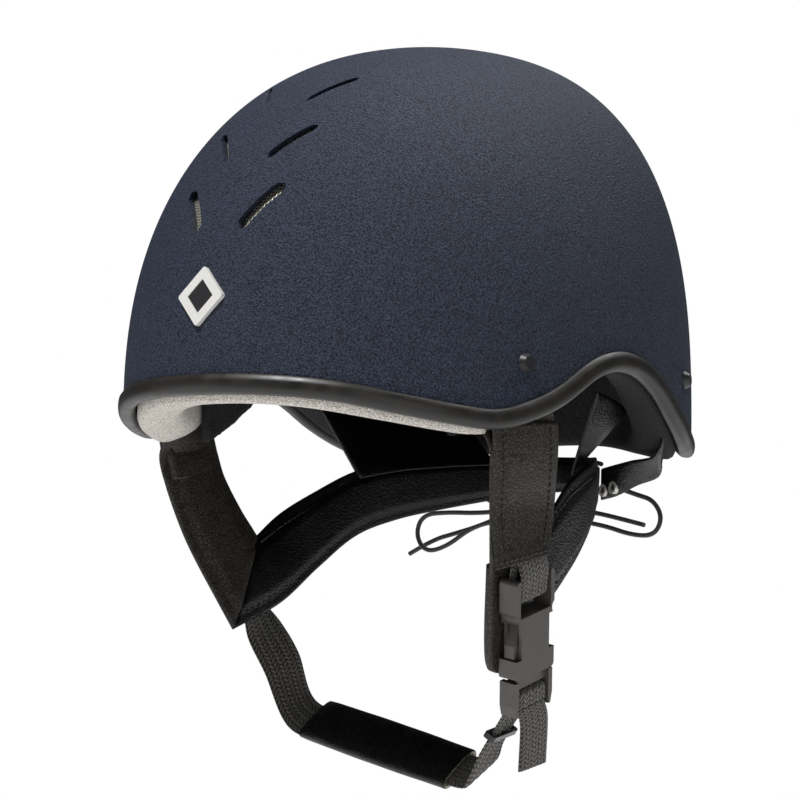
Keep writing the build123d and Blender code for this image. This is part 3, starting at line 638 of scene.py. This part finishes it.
def split_turn():
    """Turn on the wearer's left at which the lining's two cloths meet."""
    low, high = -pi / 2, 0.0
    for _ in range(40):
        middle = (low + high) / 2
        if rim_point(middle, 15).y < LINING_SPLIT:
            low = middle
        else:
            high = middle
    return low


def lining_roll(roll):
    """The lining's roll round the foam's edge, as (inset, drop below the rim)."""
    return [
        (6.0, -4.2), (5.9, -1.0), (6.0, roll - 2.6), (6.6, roll - 0.9), (8.0, roll), (10.4, roll - 0.1),
        (14.0, roll - 1.0), (18.0, roll - 2.3), (21.5, roll - 3.9), (24.3, roll - 6.2),
        (LINING_INNER, roll - 9.0),
    ]


def make_lining(name, roll, start, end, steps, material, slot, node):
    """Felt roll under the foam's edge and up its inner wall."""
    outline = lining_roll(roll)
    rows_up = 9
    size = len(outline) + 2 * rows_up
    verts = []
    for index in range(steps + 1):
        turn = start + (end - start) * index / steps
        loop = [rim_point(turn, inset, drop) for inset, drop in outline]
        foot = loop[-1].z
        for row in range(1, rows_up + 1):
            loop.append(dome_point(turn, foot + (LINING_TOP - foot) * row / rows_up, LINING_INNER))
        foot = loop[0].z
        for row in range(rows_up, 0, -1):
            share = row / rows_up
            loop.append(dome_point(turn, foot + (LINING_TOP - foot) * share, LINING_OUTER))
        verts += loop
    lining = new_object(name, verts, tube_faces(steps + 1, size), material, slot)
    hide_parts(node)


SPLIT = split_turn()
SEAM = 0.003               # turn left between the two cloths
make_lining("brow_felt", 5.9, -pi - SPLIT, SPLIT, 120, LIGHT_FELT, "light_felt", "brow_lining")
make_lining("nape_felt", 4.6, SPLIT + SEAM, pi - SPLIT - SEAM, 200, DARK_FELT, "dark_felt", "nape_lining")


def soft_copy(node, name, material, voxel, rounds):
    """Rounded pillow made from a plain block of the frame."""
    source = frame["nodes"][node]
    obj = bpy.data.objects.new(name, source.data.copy())
    bpy.context.scene.collection.objects.link(obj)
    obj.matrix_world = source.matrix_world.copy()
    remesh = obj.modifiers.new("even", "REMESH")
    remesh.mode = "VOXEL"
    remesh.voxel_size = voxel * MM
    soften = obj.modifiers.new("soft", "SMOOTH")
    soften.factor = 0.8
    soften.iterations = rounds
    refine = obj.modifiers.new("fine", "SUBSURF")
    refine.levels = 1
    apply_modifiers(obj)
    obj.data.materials.clear()
    obj.data.materials.append(material)
    for polygon in obj.data.polygons:
        polygon.use_smooth = True
    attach(obj, "helmet")
    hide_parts(node)


soft_copy("crown_pad", "crown_cushion", DARK_FELT, 3.2, 5)
soft_copy("side_pad_left", "temple_cushion_left", DARK_FELT, 1.8, 3)
soft_copy("side_pad_right", "temple_cushion_right", DARK_FELT, 1.8, 3)

# ---- straps ---------------------------------------------------------------------------------------
BASE_STITCH = 3.4
STITCH_RADIUS = 0.34
RIB_DEPTH = 0.14           # height of the webbing's ribs, as a share of half its thickness


def interpolate(stations, spacing=2.0):
    """Stations every few millimetres along a smooth ribbon: (first edge, second edge, thickness)."""
    flat = [list(first) + list(second) + [thickness] for first, second, thickness in stations]
    length = sum(
        ((Vector(b[:3]) + Vector(b[3:6])) - (Vector(a[:3]) + Vector(a[3:6]))).length / 2
        for a, b in zip(flat, flat[1:])
    )
    steps = max(int(length / spacing), 4)
    result = []
    for index in range(steps + 1):
        row = catmull(flat, index / steps)
        result.append((Vector(row[:3]), Vector(row[3:6]), row[6]))
    return result


def frames_along(rows):
    """Each row's middle, directions across and out of its face, half width, thickness and length so far."""
    frames = []
    travelled = 0.0
    for index, (first, second, thickness) in enumerate(rows):
        before = rows[max(index - 1, 0)]
        after = rows[min(index + 1, len(rows) - 1)]
        run = (after[0] + after[1]) - (before[0] + before[1])
        middle = (first + second) / 2
        if index:
            travelled += (middle - frames[-1][0]).length
        across = (second - first).normalized()
        face = run.cross(across).normalized()
        frames.append((middle, across, face, (second - first).length / 2, thickness, travelled))
    return frames


def strap_profile(kind, count=20):
    """Outline of a strap's section as (share of half width, share of half thickness)."""
    points = []
    for index in range(count + 1):
        u = -cos(pi * index / count)
        edge = sqrt(max(1 - abs(u) ** 8, 0.0))
        if kind == "padded":
            flange = 0.44 + 0.2 * max(0.0, (abs(u) - 0.88) / 0.12)
            pillow = 1.0 - 0.25 * abs(u) ** 3
            blend = min(max((0.72 - abs(u)) / 0.12, 0.0), 1.0)
            height = flange + (pillow - flange) * blend * blend * (3 - 2 * blend)
        elif kind == "hem":
            groove = max(0.0, 1 - abs(abs(u) - 0.72) / 0.06)
            height = 0.95 - 0.3 * groove - 0.12 * max(0.0, (abs(u) - 0.78) / 0.22)
        elif kind == "rolled":
            height = 0.8 + 0.25 * max(0.0, (abs(u) - 0.7) / 0.3)
        else:
            height = 1.0
        points.append((u, height * edge))
    return points


def make_strap(name, stations, kind, material, slot, body="helmet", nodes=(), spacing=2.0, count=20,
               ride=True):
    """Ribbon with a shaped section, strip coordinates in millimetres."""
    frames = frames_along(interpolate(stations, spacing))
    woven = kind == "woven"
    profile = strap_profile(kind, 36 if woven else count)
    outline = profile + [(u, -h) for u, h in profile[-2:0:-1]]
    verts, uvs = [], []
    for middle, across, face, half, thickness, travelled in frames:
        for u, h in outline:
            rib = RIB_DEPTH * weave_rib(u * half, travelled) if woven else 0.0
            verts.append(middle + across * (u * half) + face * (h * thickness / 2 * (1 + rib)))
            uvs.append((u * half, travelled))
    obj = new_object(name, verts, tube_faces(len(frames), len(outline)), material, slot,
                     body=body if ride else None, uvs=uvs)
    if nodes:
        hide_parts(*nodes)
    return obj, frames


def pill(verts, faces, centre, direction, up, length, radius):
    """Adds one rounded stitch."""
    side = direction.cross(up).normalized()
    base = len(verts)
    rings = ((-0.5, 0.35), (-0.32, 0.95), (0.32, 0.95), (0.5, 0.35))
    for share, size in rings:
        middle = centre + direction * (share * length)
        for index in range(6):
            turn = pi * index / 3
            verts.append(middle + (side * cos(turn) + up * sin(turn)) * radius * size)
    faces += [tuple(i + base for i in face) for face in tube_faces(4, 6)]


def make_stitches(name, frames, lines, start, end=4.0, pitch=BASE_STITCH, lift=1.0):
    """Rows of stitches along a strap: lines are distances in from its edges."""
    verts, faces = [], []
    total = frames[-1][5]
    for inward in lines:
        for side in (-1, 1):
            for facing in (1, -1):
                place = start
                while place < total - end:
                    index = min(range(len(frames)), key=lambda i: abs(frames[i][5] - place))
                    middle, across, face, half, thickness, travelled = frames[index]
                    ahead = frames[min(index + 1, len(frames) - 1)][0] - frames[max(index - 1, 0)][0]
                    offset = place - travelled
                    direction = ahead.normalized()
                    spot = middle + direction * offset + across * side * (half - inward)
                    spot += face * facing * (thickness / 2 * 0.56) * lift
                    pill(verts, faces, spot, direction, face * facing, pitch * 0.66, STITCH_RADIUS)
                    place += pitch
    new_object(name, verts, faces, THREAD, "leather")


APEX = (80.0, -12.0, -50.0)
PADDED = 6.0
TIP = {"left": (71.5, -33.5, -88.5), "right": (70.0, -38.0, -91.5)}
FRONT_EDGE = {
    "left": (on_dome(-61, -4, 9.8), (92.0, -59.5, -15.0), (90.5, -57.5, -27.0), (87.5, -53.5, -44.0),
             (83.5, -48.5, -60.0)),
    "right": (on_dome(-63, -4, 9.8), (91.6, -62.3, -15.0), (90.2, -60.0, -27.0), (87.0, -55.0, -44.0),
              (82.0, -50.0, -60.0)),
}


def front_strap(side):
    """Stations of the front strap of one side, from its rivet down to the tip of the V."""
    top, second, third, fourth, fifth = FRONT_EDGE[side]
    return (
        (on_dome(-63, 33, 4.5), on_dome(-37, 33, 4.5), 1.6),
        (on_dome(-63, 20, 4.5), on_dome(-35, 20, 4.5), 1.6),
        (on_dome(-63, 8, 7.4), on_dome(-31, 8, 7.4), 1.8),
        (top, on_dome(-23, -3, 10.4), 3.0),
        (second, (96.0, -21.0, -13.0), 5.5),
        (third, (93.0, -19.5, -24.0), 6.5),
        (fourth, (87.0, -15.5, -38.0), 6.5),
        (fifth, (82.5, -13.0, -46.0), PADDED),
        (TIP[side], APEX, PADDED),
    )


REAR_FRONT = {
    "left": (
        ((73.5, -3.0, -80.5), (81.0, 5.0, -30.0), PADDED),
        ((71.5, 20.0, -65.0), (76.5, 21.0, -23.0), PADDED),
        ((66.0, 40.0, -50.5), (68.5, 41.0, -18.0), 5.5),
    ),
    "right": (
        ((73.5, -3.0, -80.5), (79.5, 3.0, -40.0), PADDED),
        ((71.5, 20.0, -65.0), (75.5, 21.0, -30.5), PADDED),
        ((66.0, 40.0, -50.5), (67.5, 41.0, -20.5), 5.5),
    ),
}
REAR_STRAP = (
    ((56.0, 57.0, -43.0), (57.0, 58.0, -16.5), 5.0),
    ((43.0, 76.0, -38.0), (44.0, 77.0, -15.0), 5.0),
    ((27.0, 95.0, -33.5), (28.0, 96.0, -14.5), 5.0),
)
NAPE_ARC = (REAR_STRAP[-1], ((9.0, 104.5, -30.5), (9.0, 105.5, -14.0), 5.0),
            ((0.0, 105.6, -30.2), (0.0, 106.8, -13.8), 5.0))
NAPE_PANEL = (
    ((60.8, 36.9, -24.0), on_dome(29, 12, 28.0), 2.0),
    ((50.6, 54.0, -20.5), on_dome(54, 8, 28.0), 2.0),
    ((37.9, 72.4, -18.5), on_dome(76, 5, 28.0), 2.0),
    ((23.2, 90.1, -17.5), on_dome(92, 6, 28.0), 2.0),
)
LACE_FLAP = (
    (on_dome(57, 27, 4.7), on_dome(79, 27, 4.7), 1.6),
    (on_dome(57, 12, 4.9), on_dome(80, 12, 4.9), 1.6),
    (on_dome(61, -2, 7.8), on_dome(84, -3, 7.8), 1.8),
    (on_dome(66, -12, 10.5), on_dome(89, -16, 11.0), 2.0),
    ((76.0, 75.0, -15.5), (68.0, 92.5, -23.5), 2.0),
    ((58.0, 85.5, -16.5), (54.0, 95.5, -27.5), 2.0),
    ((44.0, 92.5, -18.0), (42.0, 97.0, -32.0), 2.0),
    ((33.0, 97.4, -19.5), (31.0, 99.7, -34.0), 2.0),
)


def flip(stations):
    """The wearer's right-hand copy of a ribbon."""
    return tuple(((-a[0], *a[1:]), (-b[0], *b[1:]), t) for a, b, t in stations)


for side in ("left", "right"):
    turn_over = flip if side == "right" else tuple
    front = turn_over(front_strap(side))
    rear = turn_over(((TIP[side], APEX, PADDED),) + REAR_FRONT[side] + REAR_STRAP)
    strap, frames = make_strap(f"front_leather_{side}", front, "padded", LEATHER_OUT, "leather",
                               nodes=[f"front_strap_{side}"])
    make_stitches(f"front_stitching_{side}", frames, (7.0,), start=38.0)
    strap, frames = make_strap(f"rear_leather_{side}", rear, "padded", LEATHER, "leather",
                               nodes=[f"rear_strap_{side}"])
    make_stitches(f"rear_stitching_{side}", frames, (6.0,), start=6.0)
    make_strap(f"nape_leather_{side}", turn_over(NAPE_PANEL), "rolled", LEATHER, "leather",
               nodes=[f"nape_panel_{side}"])
    _, frames = make_strap(f"flap_leather_{side}", turn_over(LACE_FLAP), "rolled", LEATHER, "leather",
                           nodes=[f"lace_flap_{side}"])
    make_stitches(f"flap_stitching_{side}", frames, (3.0,), start=34.0)

# The cuff folded back over the wearer's right front strap.
FOLD = (
    ((-93.6, -60.0, -7.0), (-96.6, -31.0, -5.0), 4.6),
    ((-92.2, -58.8, -14.0), (-95.4, -28.5, -12.5), 7.4),
    ((-91.2, -57.4, -20.5), (-94.2, -27.0, -18.6), 8.3),
    ((-90.5, -56.8, -25.5), (-93.4, -27.0, -23.6), 8.1),
)
fold, _ = make_strap("front_fold_right", FOLD, "rolled", LEATHER_OUT, "leather", spacing=1.2)
make_strap("nape_bridge", NAPE_ARC + flip(NAPE_ARC[:2])[::-1], "padded", LEATHER, "leather",
           nodes=["nape_joiner"])


# ---- plain parts of the frame that keep their shape -------------------------------------------------
MOULDED_ANGLE = 32


def dress(node, material, bevel_mm=0.0):
    """Gives a CAD piece its material and soft moulded edges."""
    obj = frame["nodes"][node]
    obj.data.materials.clear()
    obj.data.materials.append(material)
    if bevel_mm:
        bevel = obj.modifiers.new("moulded", "BEVEL")
        bevel.width = bevel_mm * MM
        bevel.segments = 3
        bevel.limit_method = "ANGLE"
        bevel.angle_limit = radians(MOULDED_ANGLE)
        bevel.harden_normals = True


dress("eps_liner", FOAM)
dress("vent_mesh_left", WIRE)
dress("vent_mesh_right", WIRE)
dress("rivet_washers", WASHER)
dress("buckle_female", PLASTIC, 0.8)
dress("buckle_male", PLASTIC, 0.7)
dress("prong_front", PLASTIC, 0.7)
dress("prong_rear", PLASTIC, 0.7)
dress("strap_keeper", KEEPER, 0.5)
dress("badge_plate", CHROME, 0.5)
dress("badge_inlay", INLAY, 0.15)
dress("lace_eyelets", EYELET, 0.35)
dress("harness_rivets", RIVET, 0.6)

# ---- buckle frame and webbing -----------------------------------------------------------------------
BUCKLE_CENTRE = Vector((82.6, -23.1, -88.1))
BUCKLE_OUT = Vector((0.977, 0.054, -0.203)).normalized()
BUCKLE_ACROSS = Vector((0.0, 0.966, 0.256))
BUCKLE_ACROSS = (BUCKLE_ACROSS - BUCKLE_OUT * BUCKLE_ACROSS.dot(BUCKLE_OUT)).normalized()
BUCKLE_UP = BUCKLE_OUT.cross(BUCKLE_ACROSS)
WEBBING_HALF = 9.5
WEB_THICK = 1.8


def at_buckle(x, y, z):
    """Point of the shared frame for a point of the buckle's frame."""
    return BUCKLE_CENTRE + BUCKLE_ACROSS * x + BUCKLE_UP * y + BUCKLE_OUT * z


def strip(centre, across, thickness=WEB_THICK, half=WEBBING_HALF):
    """Ribbon station of webbing round a centre."""
    middle = Vector(centre)
    side = Vector(across).normalized() * half
    return (tuple(middle - side), tuple(middle + side), thickness)


# The pad behind the buckle, in the buckle's frame: low x, high x, y, z.
GUARD = (
    (-15.5, 9.0, 30.0, -8.6), (-16.5, 10.0, 20.0, -8.2), (-17.5, 10.5, 8.0, -7.9), (-17.8, 10.0, -4.0, -7.7),
    (-17.2, 8.0, -11.0, -7.6), (-15.2, 4.0, -15.4, -7.6), (-12.0, -1.0, -17.6, -7.6),
)
GUARD_THICK = 5.0
guard, _ = make_strap(
    "buckle_guard_leather",
    [(tuple(at_buckle(low, y, z)), tuple(at_buckle(high, y, z)), GUARD_THICK) for low, high, y, z in GUARD],
    "rolled", LEATHER_OUT, "leather", spacing=1.5,
)

# The sewn cover over the front strap on the buckle's side, down to the buckle.
HEM = (
    ((94.0, -60.0, -4.0), (98.6, -22.6, -3.0), 2.6),
    ((93.4, -59.2, -14.5), (97.4, -21.0, -13.0), 3.4),
    ((91.9, -57.4, -26.0), (95.0, -19.0, -24.5), 3.6),
    ((89.9, -55.6, -38.0), (91.7, -16.2, -36.5), 3.2),
    ((89.4, -54.2, -50.0), (91.3, -17.4, -46.5), 3.0),
    ((90.0, -53.3, -60.0), (92.3, -20.2, -54.2), 2.6),
    ((90.4, -53.0, -63.5), (92.6, -20.9, -57.6), 2.2),
)
_, frames = make_strap("harness_hem_leather", HEM, "hem", LEATHER_OUT, "leather", spacing=1.5, count=32)
make_stitches("hem_side_stitching", frames, (5.2,), start=3.0, end=3.0, pitch=2.9, lift=1.7)


def make_hem_stitches():
    """Row of stitches across the hem, above the buckle."""
    verts, faces = [], []
    first, second = Vector((91.7, -51.4, -60.9)), Vector((93.8, -21.9, -55.4))
    run = second - first
    count = 11
    for index in range(count):
        spot = first + run * (index / (count - 1))
        pill(verts, faces, spot, run.normalized(), BUCKLE_OUT, 2.1, STITCH_RADIUS)
    new_object("hem_stitching", verts, faces, THREAD, "leather")


make_hem_stitches()
LOOP_PATH = (
    (33.5, 0.9), (30, 2.6), (26.5, 3.6), (23, 3.7), (19.5, 3.2), (15.5, 2.9), (14.3, 1.6),
    (14.1, 0.0), (14.3, -1.6), (15.5, -2.9), (19.5, -3.1), (24, -2.4), (28, -1.6), (33.5, -1.4),
)
make_strap("tab_webbing", [strip(at_buckle(0, y, z), BUCKLE_ACROSS, 1.5) for y, z in LOOP_PATH], "woven",
           WEBBING, "webbing", body="chin_mount", nodes=["buckle_loop"], spacing=0.5)

PAD_START = Vector((-44.0, -12.0, -131.0))
PAD_END = Vector((38.0, -12.0, -149.0))
PAD_ALONG = (PAD_END - PAD_START).normalized()
PAD_TILT = Vector((0.0, 0.78, 0.62))
PAD_ACROSS = (PAD_TILT - PAD_ALONG * PAD_TILT.dot(PAD_ALONG)).normalized()
KEEPER_ACROSS = (-0.05, 0.95, 0.31)
TURN_PATH = (
    (-29.0, -2.75), (-26.6, -2.5), (-25.9, -1.2), (-25.8, 0.0), (-25.9, 1.2), (-26.6, 2.5), (-29.0, 2.75),
    (-32.6, 2.6),
)
SLING = (
    strip((-77.6, -14.3, -85.0), (-0.10, 0.97, 0.22)),
    strip((-72.6, -13.8, -93.5), (0.25, 0.90, 0.36)),
    strip((-63.5, -13.0, -107.0), (0.33, 0.83, 0.45)),
    strip(PAD_START - PAD_ALONG * 8.0, PAD_ACROSS),
    strip(PAD_START + PAD_ALONG * 20.0, PAD_ACROSS),
    strip(PAD_START + PAD_ALONG * 60.0, PAD_ACROSS),
    strip(PAD_END + PAD_ALONG * 6.0, PAD_ACROSS),
    strip((50.5, -12.2, -148.0), (0.18, 0.85, 0.49)),
    strip((56.0, -13.0, -139.0), KEEPER_ACROSS),
    strip((64.2, -12.6, -127.4), KEEPER_ACROSS),
    strip(at_buckle(0, -32.0, -2.3), BUCKLE_ACROSS),
) + tuple(strip(at_buckle(0, y, z), BUCKLE_ACROSS, 1.6) for y, z in TURN_PATH)
make_strap("anchor_webbing", [
    strip((-80.9, -14.6, -70.0), (-0.03, 0.975, 0.22)), strip((-79.4, -14.5, -77.0), (-0.06, 0.97, 0.22)),
    strip((-77.8, -14.3, -84.6), (-0.10, 0.97, 0.22)),
], "woven", WEBBING, "webbing", body="chin_mount", nodes=["webbing_anchor"], spacing=0.5)
sling, _ = make_strap("chin_strap_webbing", SLING, "woven", WEBBING, "webbing", ride=False, spacing=0.5,
                      nodes=["chin_webbing", "webbing_turn"])
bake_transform(sling)
tail, _ = make_strap("loose_webbing", [
    strip(at_buckle(0, -33.3, 2.2), BUCKLE_ACROSS), strip((75.4, -9.0, -127.5), (0.0, 0.975, 0.2)),
    strip((71.6, -5.4, -146.5), (0.0, 0.98, 0.17)),
], "woven", WEBBING, "webbing", body="webbing_tail", nodes=["webbing_tail"], spacing=0.5)


# ---- chin pad ---------------------------------------------------------------------------------------
def make_chin_pad():
    """Leather sleeve round the webbing, with an open lined mouth on the buckle side."""
    length = 83.9
    steps = 60
    ring = 30
    power = 2.7
    mouth = ((length + 0.4, 11.2, 3.0), (length, 10.6, 2.2), (length - 6, 10.3, 1.5))
    face = PAD_ALONG.cross(PAD_ACROSS).normalized()
    verts = []

    def section(distance, half_width, half_height):
        for index in range(ring):
            turn = 2 * pi * index / ring
            c, s = cos(turn), sin(turn)
            radius = (abs(c) ** power + abs(s) ** power) ** (-1 / power)
            sag = 0.12 * sin(5 * distance / 21) * s
            verts.append(
                PAD_START + PAD_ALONG * distance + PAD_ACROSS * (half_width * c * radius)
                + face * (half_height * s * radius + sag)
            )

    for step in range(steps + 1):
        share = step / steps
        swell = 1 + 0.05 * sin(pi * share)
        pinch = 1 - 0.25 * max(0.0, 1 - share * 12) ** 2
        section(length * share, 11.6 * swell, 3.6 * pinch)
    for distance, half_width, half_height in mouth:
        section(distance, half_width, half_height)
    faces = tube_faces(steps + 4, ring)
    pad = new_object("chin_sleeve", verts, faces, LEATHER, "leather", body="chin_pad")
    pad.data.materials.append(CREAM)
    for polygon in pad.data.polygons:
        if min(polygon.vertices) >= (steps + 1) * ring:
            polygon.material_index = 1
    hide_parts("chin_pad")


make_chin_pad()

# ---- laces ------------------------------------------------------------------------------------------
LACE_DIAMETER = 2.2
LACES = (
    ("lace_right_swing", 99.3, "knot", "loose", (
        (41.7, 98.0, -28.6), (48.5, 102.3, -31.6), (57.0, 103.5, -34.0), (62.0, 103.5, -42.0),
        (57.4, 103.5, -50.2), (45.0, 103.0, -49.8), (30.0, 103.0, -45.6), (13.0, 103.0, -43.2),
        (-7.0, 103.2, -42.0))),
    ("lace_right_tail", 58.2, "bare", "hanging", (
        (-7.0, 105.0, -40.0), (6.0, 106.2, -38.8), (20.0, 106.4, -39.2), (36.0, 106.0, -42.2),
        (50.5, 105.4, -45.3))),
    ("lace_left_loop", 146.6, "knot", "hanging", (
        (-13.0, 102.6, -39.6), (-27.0, 101.6, -38.7), (-44.0, 101.4, -39.7), (-61.0, 101.2, -39.2),
        (-76.5, 101.0, -40.3), (-80.9, 101.0, -49.8), (-74.9, 101.0, -58.4), (-62.0, 101.4, -55.6),
        (-48.0, 101.6, -47.0), (-33.0, 101.6, -43.2), (-13.0, 103.0, -42.6))),
    ("lace_left_tail", 78.2, "bare", "hanging", (
        (-13.0, 105.2, -41.4), (-29.0, 106.6, -40.0), (-47.0, 106.6, -46.0), (-61.0, 106.2, -49.4),
        (-74.0, 105.6, -52.4), (-88.0, 105.0, -59.2))),
    ("lace_left_swing", 33.8, "knot", "loose", (
        (-41.9, 98.5, -28.7), (-38.6, 103.4, -34.0), (-28.0, 105.4, -37.0), (-13.0, 104.6, -38.6))),
    ("lace_cross_strand", 65.9, "object", "taut", (
        (30.5, 99.9, -17.5), (20.0, 106.8, -16.0), (7.0, 110.2, -15.0), (-7.0, 110.2, -15.0),
        (-20.0, 106.8, -16.0), (-30.5, 99.9, -17.5))),
)


def make_knot():
    """Bow knot: a few wraps of cord round each other."""
    verts, faces = [], []
    centre = Vector((-10.0, 103.5, -41.0))
    rings, size = 28, 10
    for tilt, width, shift in ((0.2, 2.3, -1.9), (-0.25, 2.6, 0.0), (0.15, 2.2, 2.0)):
        base = len(verts)
        for ring in range(rings):
            turn = 2 * pi * ring / rings
            spoke = Vector((0.35 * sin(turn + tilt), cos(turn), sin(turn)))
            middle = centre + Vector((shift, 0, 0)) + spoke * width * 0.85
            for index in range(size):
                angle = 2 * pi * index / size
                offset = spoke.normalized() * cos(angle) + Vector((1, 0, 0)) * sin(angle)
                verts.append(middle + offset * 1.15)
        faces += [tuple(i + base for i in face) for face in tube_faces(rings, size, closed=True)]
    knot = new_object("bow_knot", verts, faces, LACE, "lace")
    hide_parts("lace_knot")
    return knot


knot = make_knot()
for name, length, far_end, lay, points in LACES:
    data = bpy.data.curves.new(name, "CURVE")
    data.dimensions = "3D"
    data.bevel_depth = LACE_DIAMETER / 2 * MM
    data.bevel_resolution = 4
    data.resolution_u = 12
    data.use_fill_caps = True
    spline = data.splines.new("NURBS")
    spline.points.add(len(points) - 1)
    for control, point in zip(spline.points, points):
        control.co = (*(c * MM for c in point), 1)
    spline.order_u = 3
    spline.use_endpoint_u = True
    lace = bpy.data.objects.new(f"{name}_cord", data)
    bpy.context.scene.collection.objects.link(lace)
    data.materials.append(LACE)
    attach(lace, "helmet")
    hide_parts(name)

# ---- floor, light and camera --------------------------------------------------------------------------
def make_stage():
    """Pale floor well below the object, the white world and soft lamps."""
    material, tree, shader = nodes_of("floor_paint", (0.93, 0.93, 0.93), 0.8, Emission_Strength=0.25)
    shader.inputs["Emission Color"].default_value = (1, 1, 1, 1)
    paint = ramp(tree, noise(tree, 3, 2), 0.3, 0.7, grey(0.92), grey(0.94))
    tree.links.new(paint, shader.inputs["Base Color"])
    radius, depth, corners = 2600, -420, 96
    turns = [2 * pi * index / corners for index in range(corners)]
    edge = [(radius * cos(turn), radius * sin(turn), depth) for turn in turns]
    floor = new_object("floor", edge, [tuple(range(corners))], material, None, body=None, smooth=False)
    world = bpy.data.worlds.new("studio")
    bpy.context.scene.world = world
    world.use_nodes = True
    sky = world.node_tree.nodes["Background"]
    sky.inputs["Color"].default_value = (1, 1, 1, 1)
    path = world.node_tree.nodes.new("ShaderNodeLightPath")
    strength = world.node_tree.nodes.new("ShaderNodeMapRange")
    strength.inputs["To Min"].default_value = 0.08
    strength.inputs["To Max"].default_value = 1.0
    world.node_tree.links.new(path.outputs["Is Camera Ray"], strength.inputs["Value"])
    world.node_tree.links.new(strength.outputs["Result"], sky.inputs["Strength"])
    lamps = (
        ("key", (-0.05, -0.85, 1.70), 0.5, 38),
        ("fill", (1.5, -0.9, 0.15), 1.0, 3),
        ("top", (0.25, 0.75, 1.35), 1.0, 15),
        ("low", (-0.9, -1.1, -0.3), 0.8, 2),
    )
    for name, place, width, power in lamps:
        light = bpy.data.lights.new(name, "AREA")
        light.size = width
        light.energy = power
        lamp = bpy.data.objects.new(name, light)
        lamp.location = place
        lamp.rotation_euler = (Vector(place) - Vector((0, 0, 0.03))).to_track_quat("Z", "Y").to_euler()
        bpy.context.scene.collection.objects.link(lamp)


make_stage()

CAMERA_AZIMUTH = 40.0
CAMERA_ELEVATION = -2.0
CAMERA_DISTANCE = 1.3
back = Vector((
    sin(radians(CAMERA_AZIMUTH)) * cos(radians(CAMERA_ELEVATION)),
    -cos(radians(CAMERA_AZIMUTH)) * cos(radians(CAMERA_ELEVATION)),
    sin(radians(CAMERA_ELEVATION)),
))
view = bpy.data.cameras.new("camera")
view.lens = 133.67
view.sensor_width = 36
view.shift_x = -0.0118
view.shift_y = 0.0268
camera = bpy.data.objects.new("camera", view)
camera.location = back * CAMERA_DISTANCE
camera.rotation_euler = back.to_track_quat("Z", "Y").to_euler()
bpy.context.scene.collection.objects.link(camera)
bpy.context.scene.camera = camera
bpy.context.scene.view_settings.view_transform = "Standard"
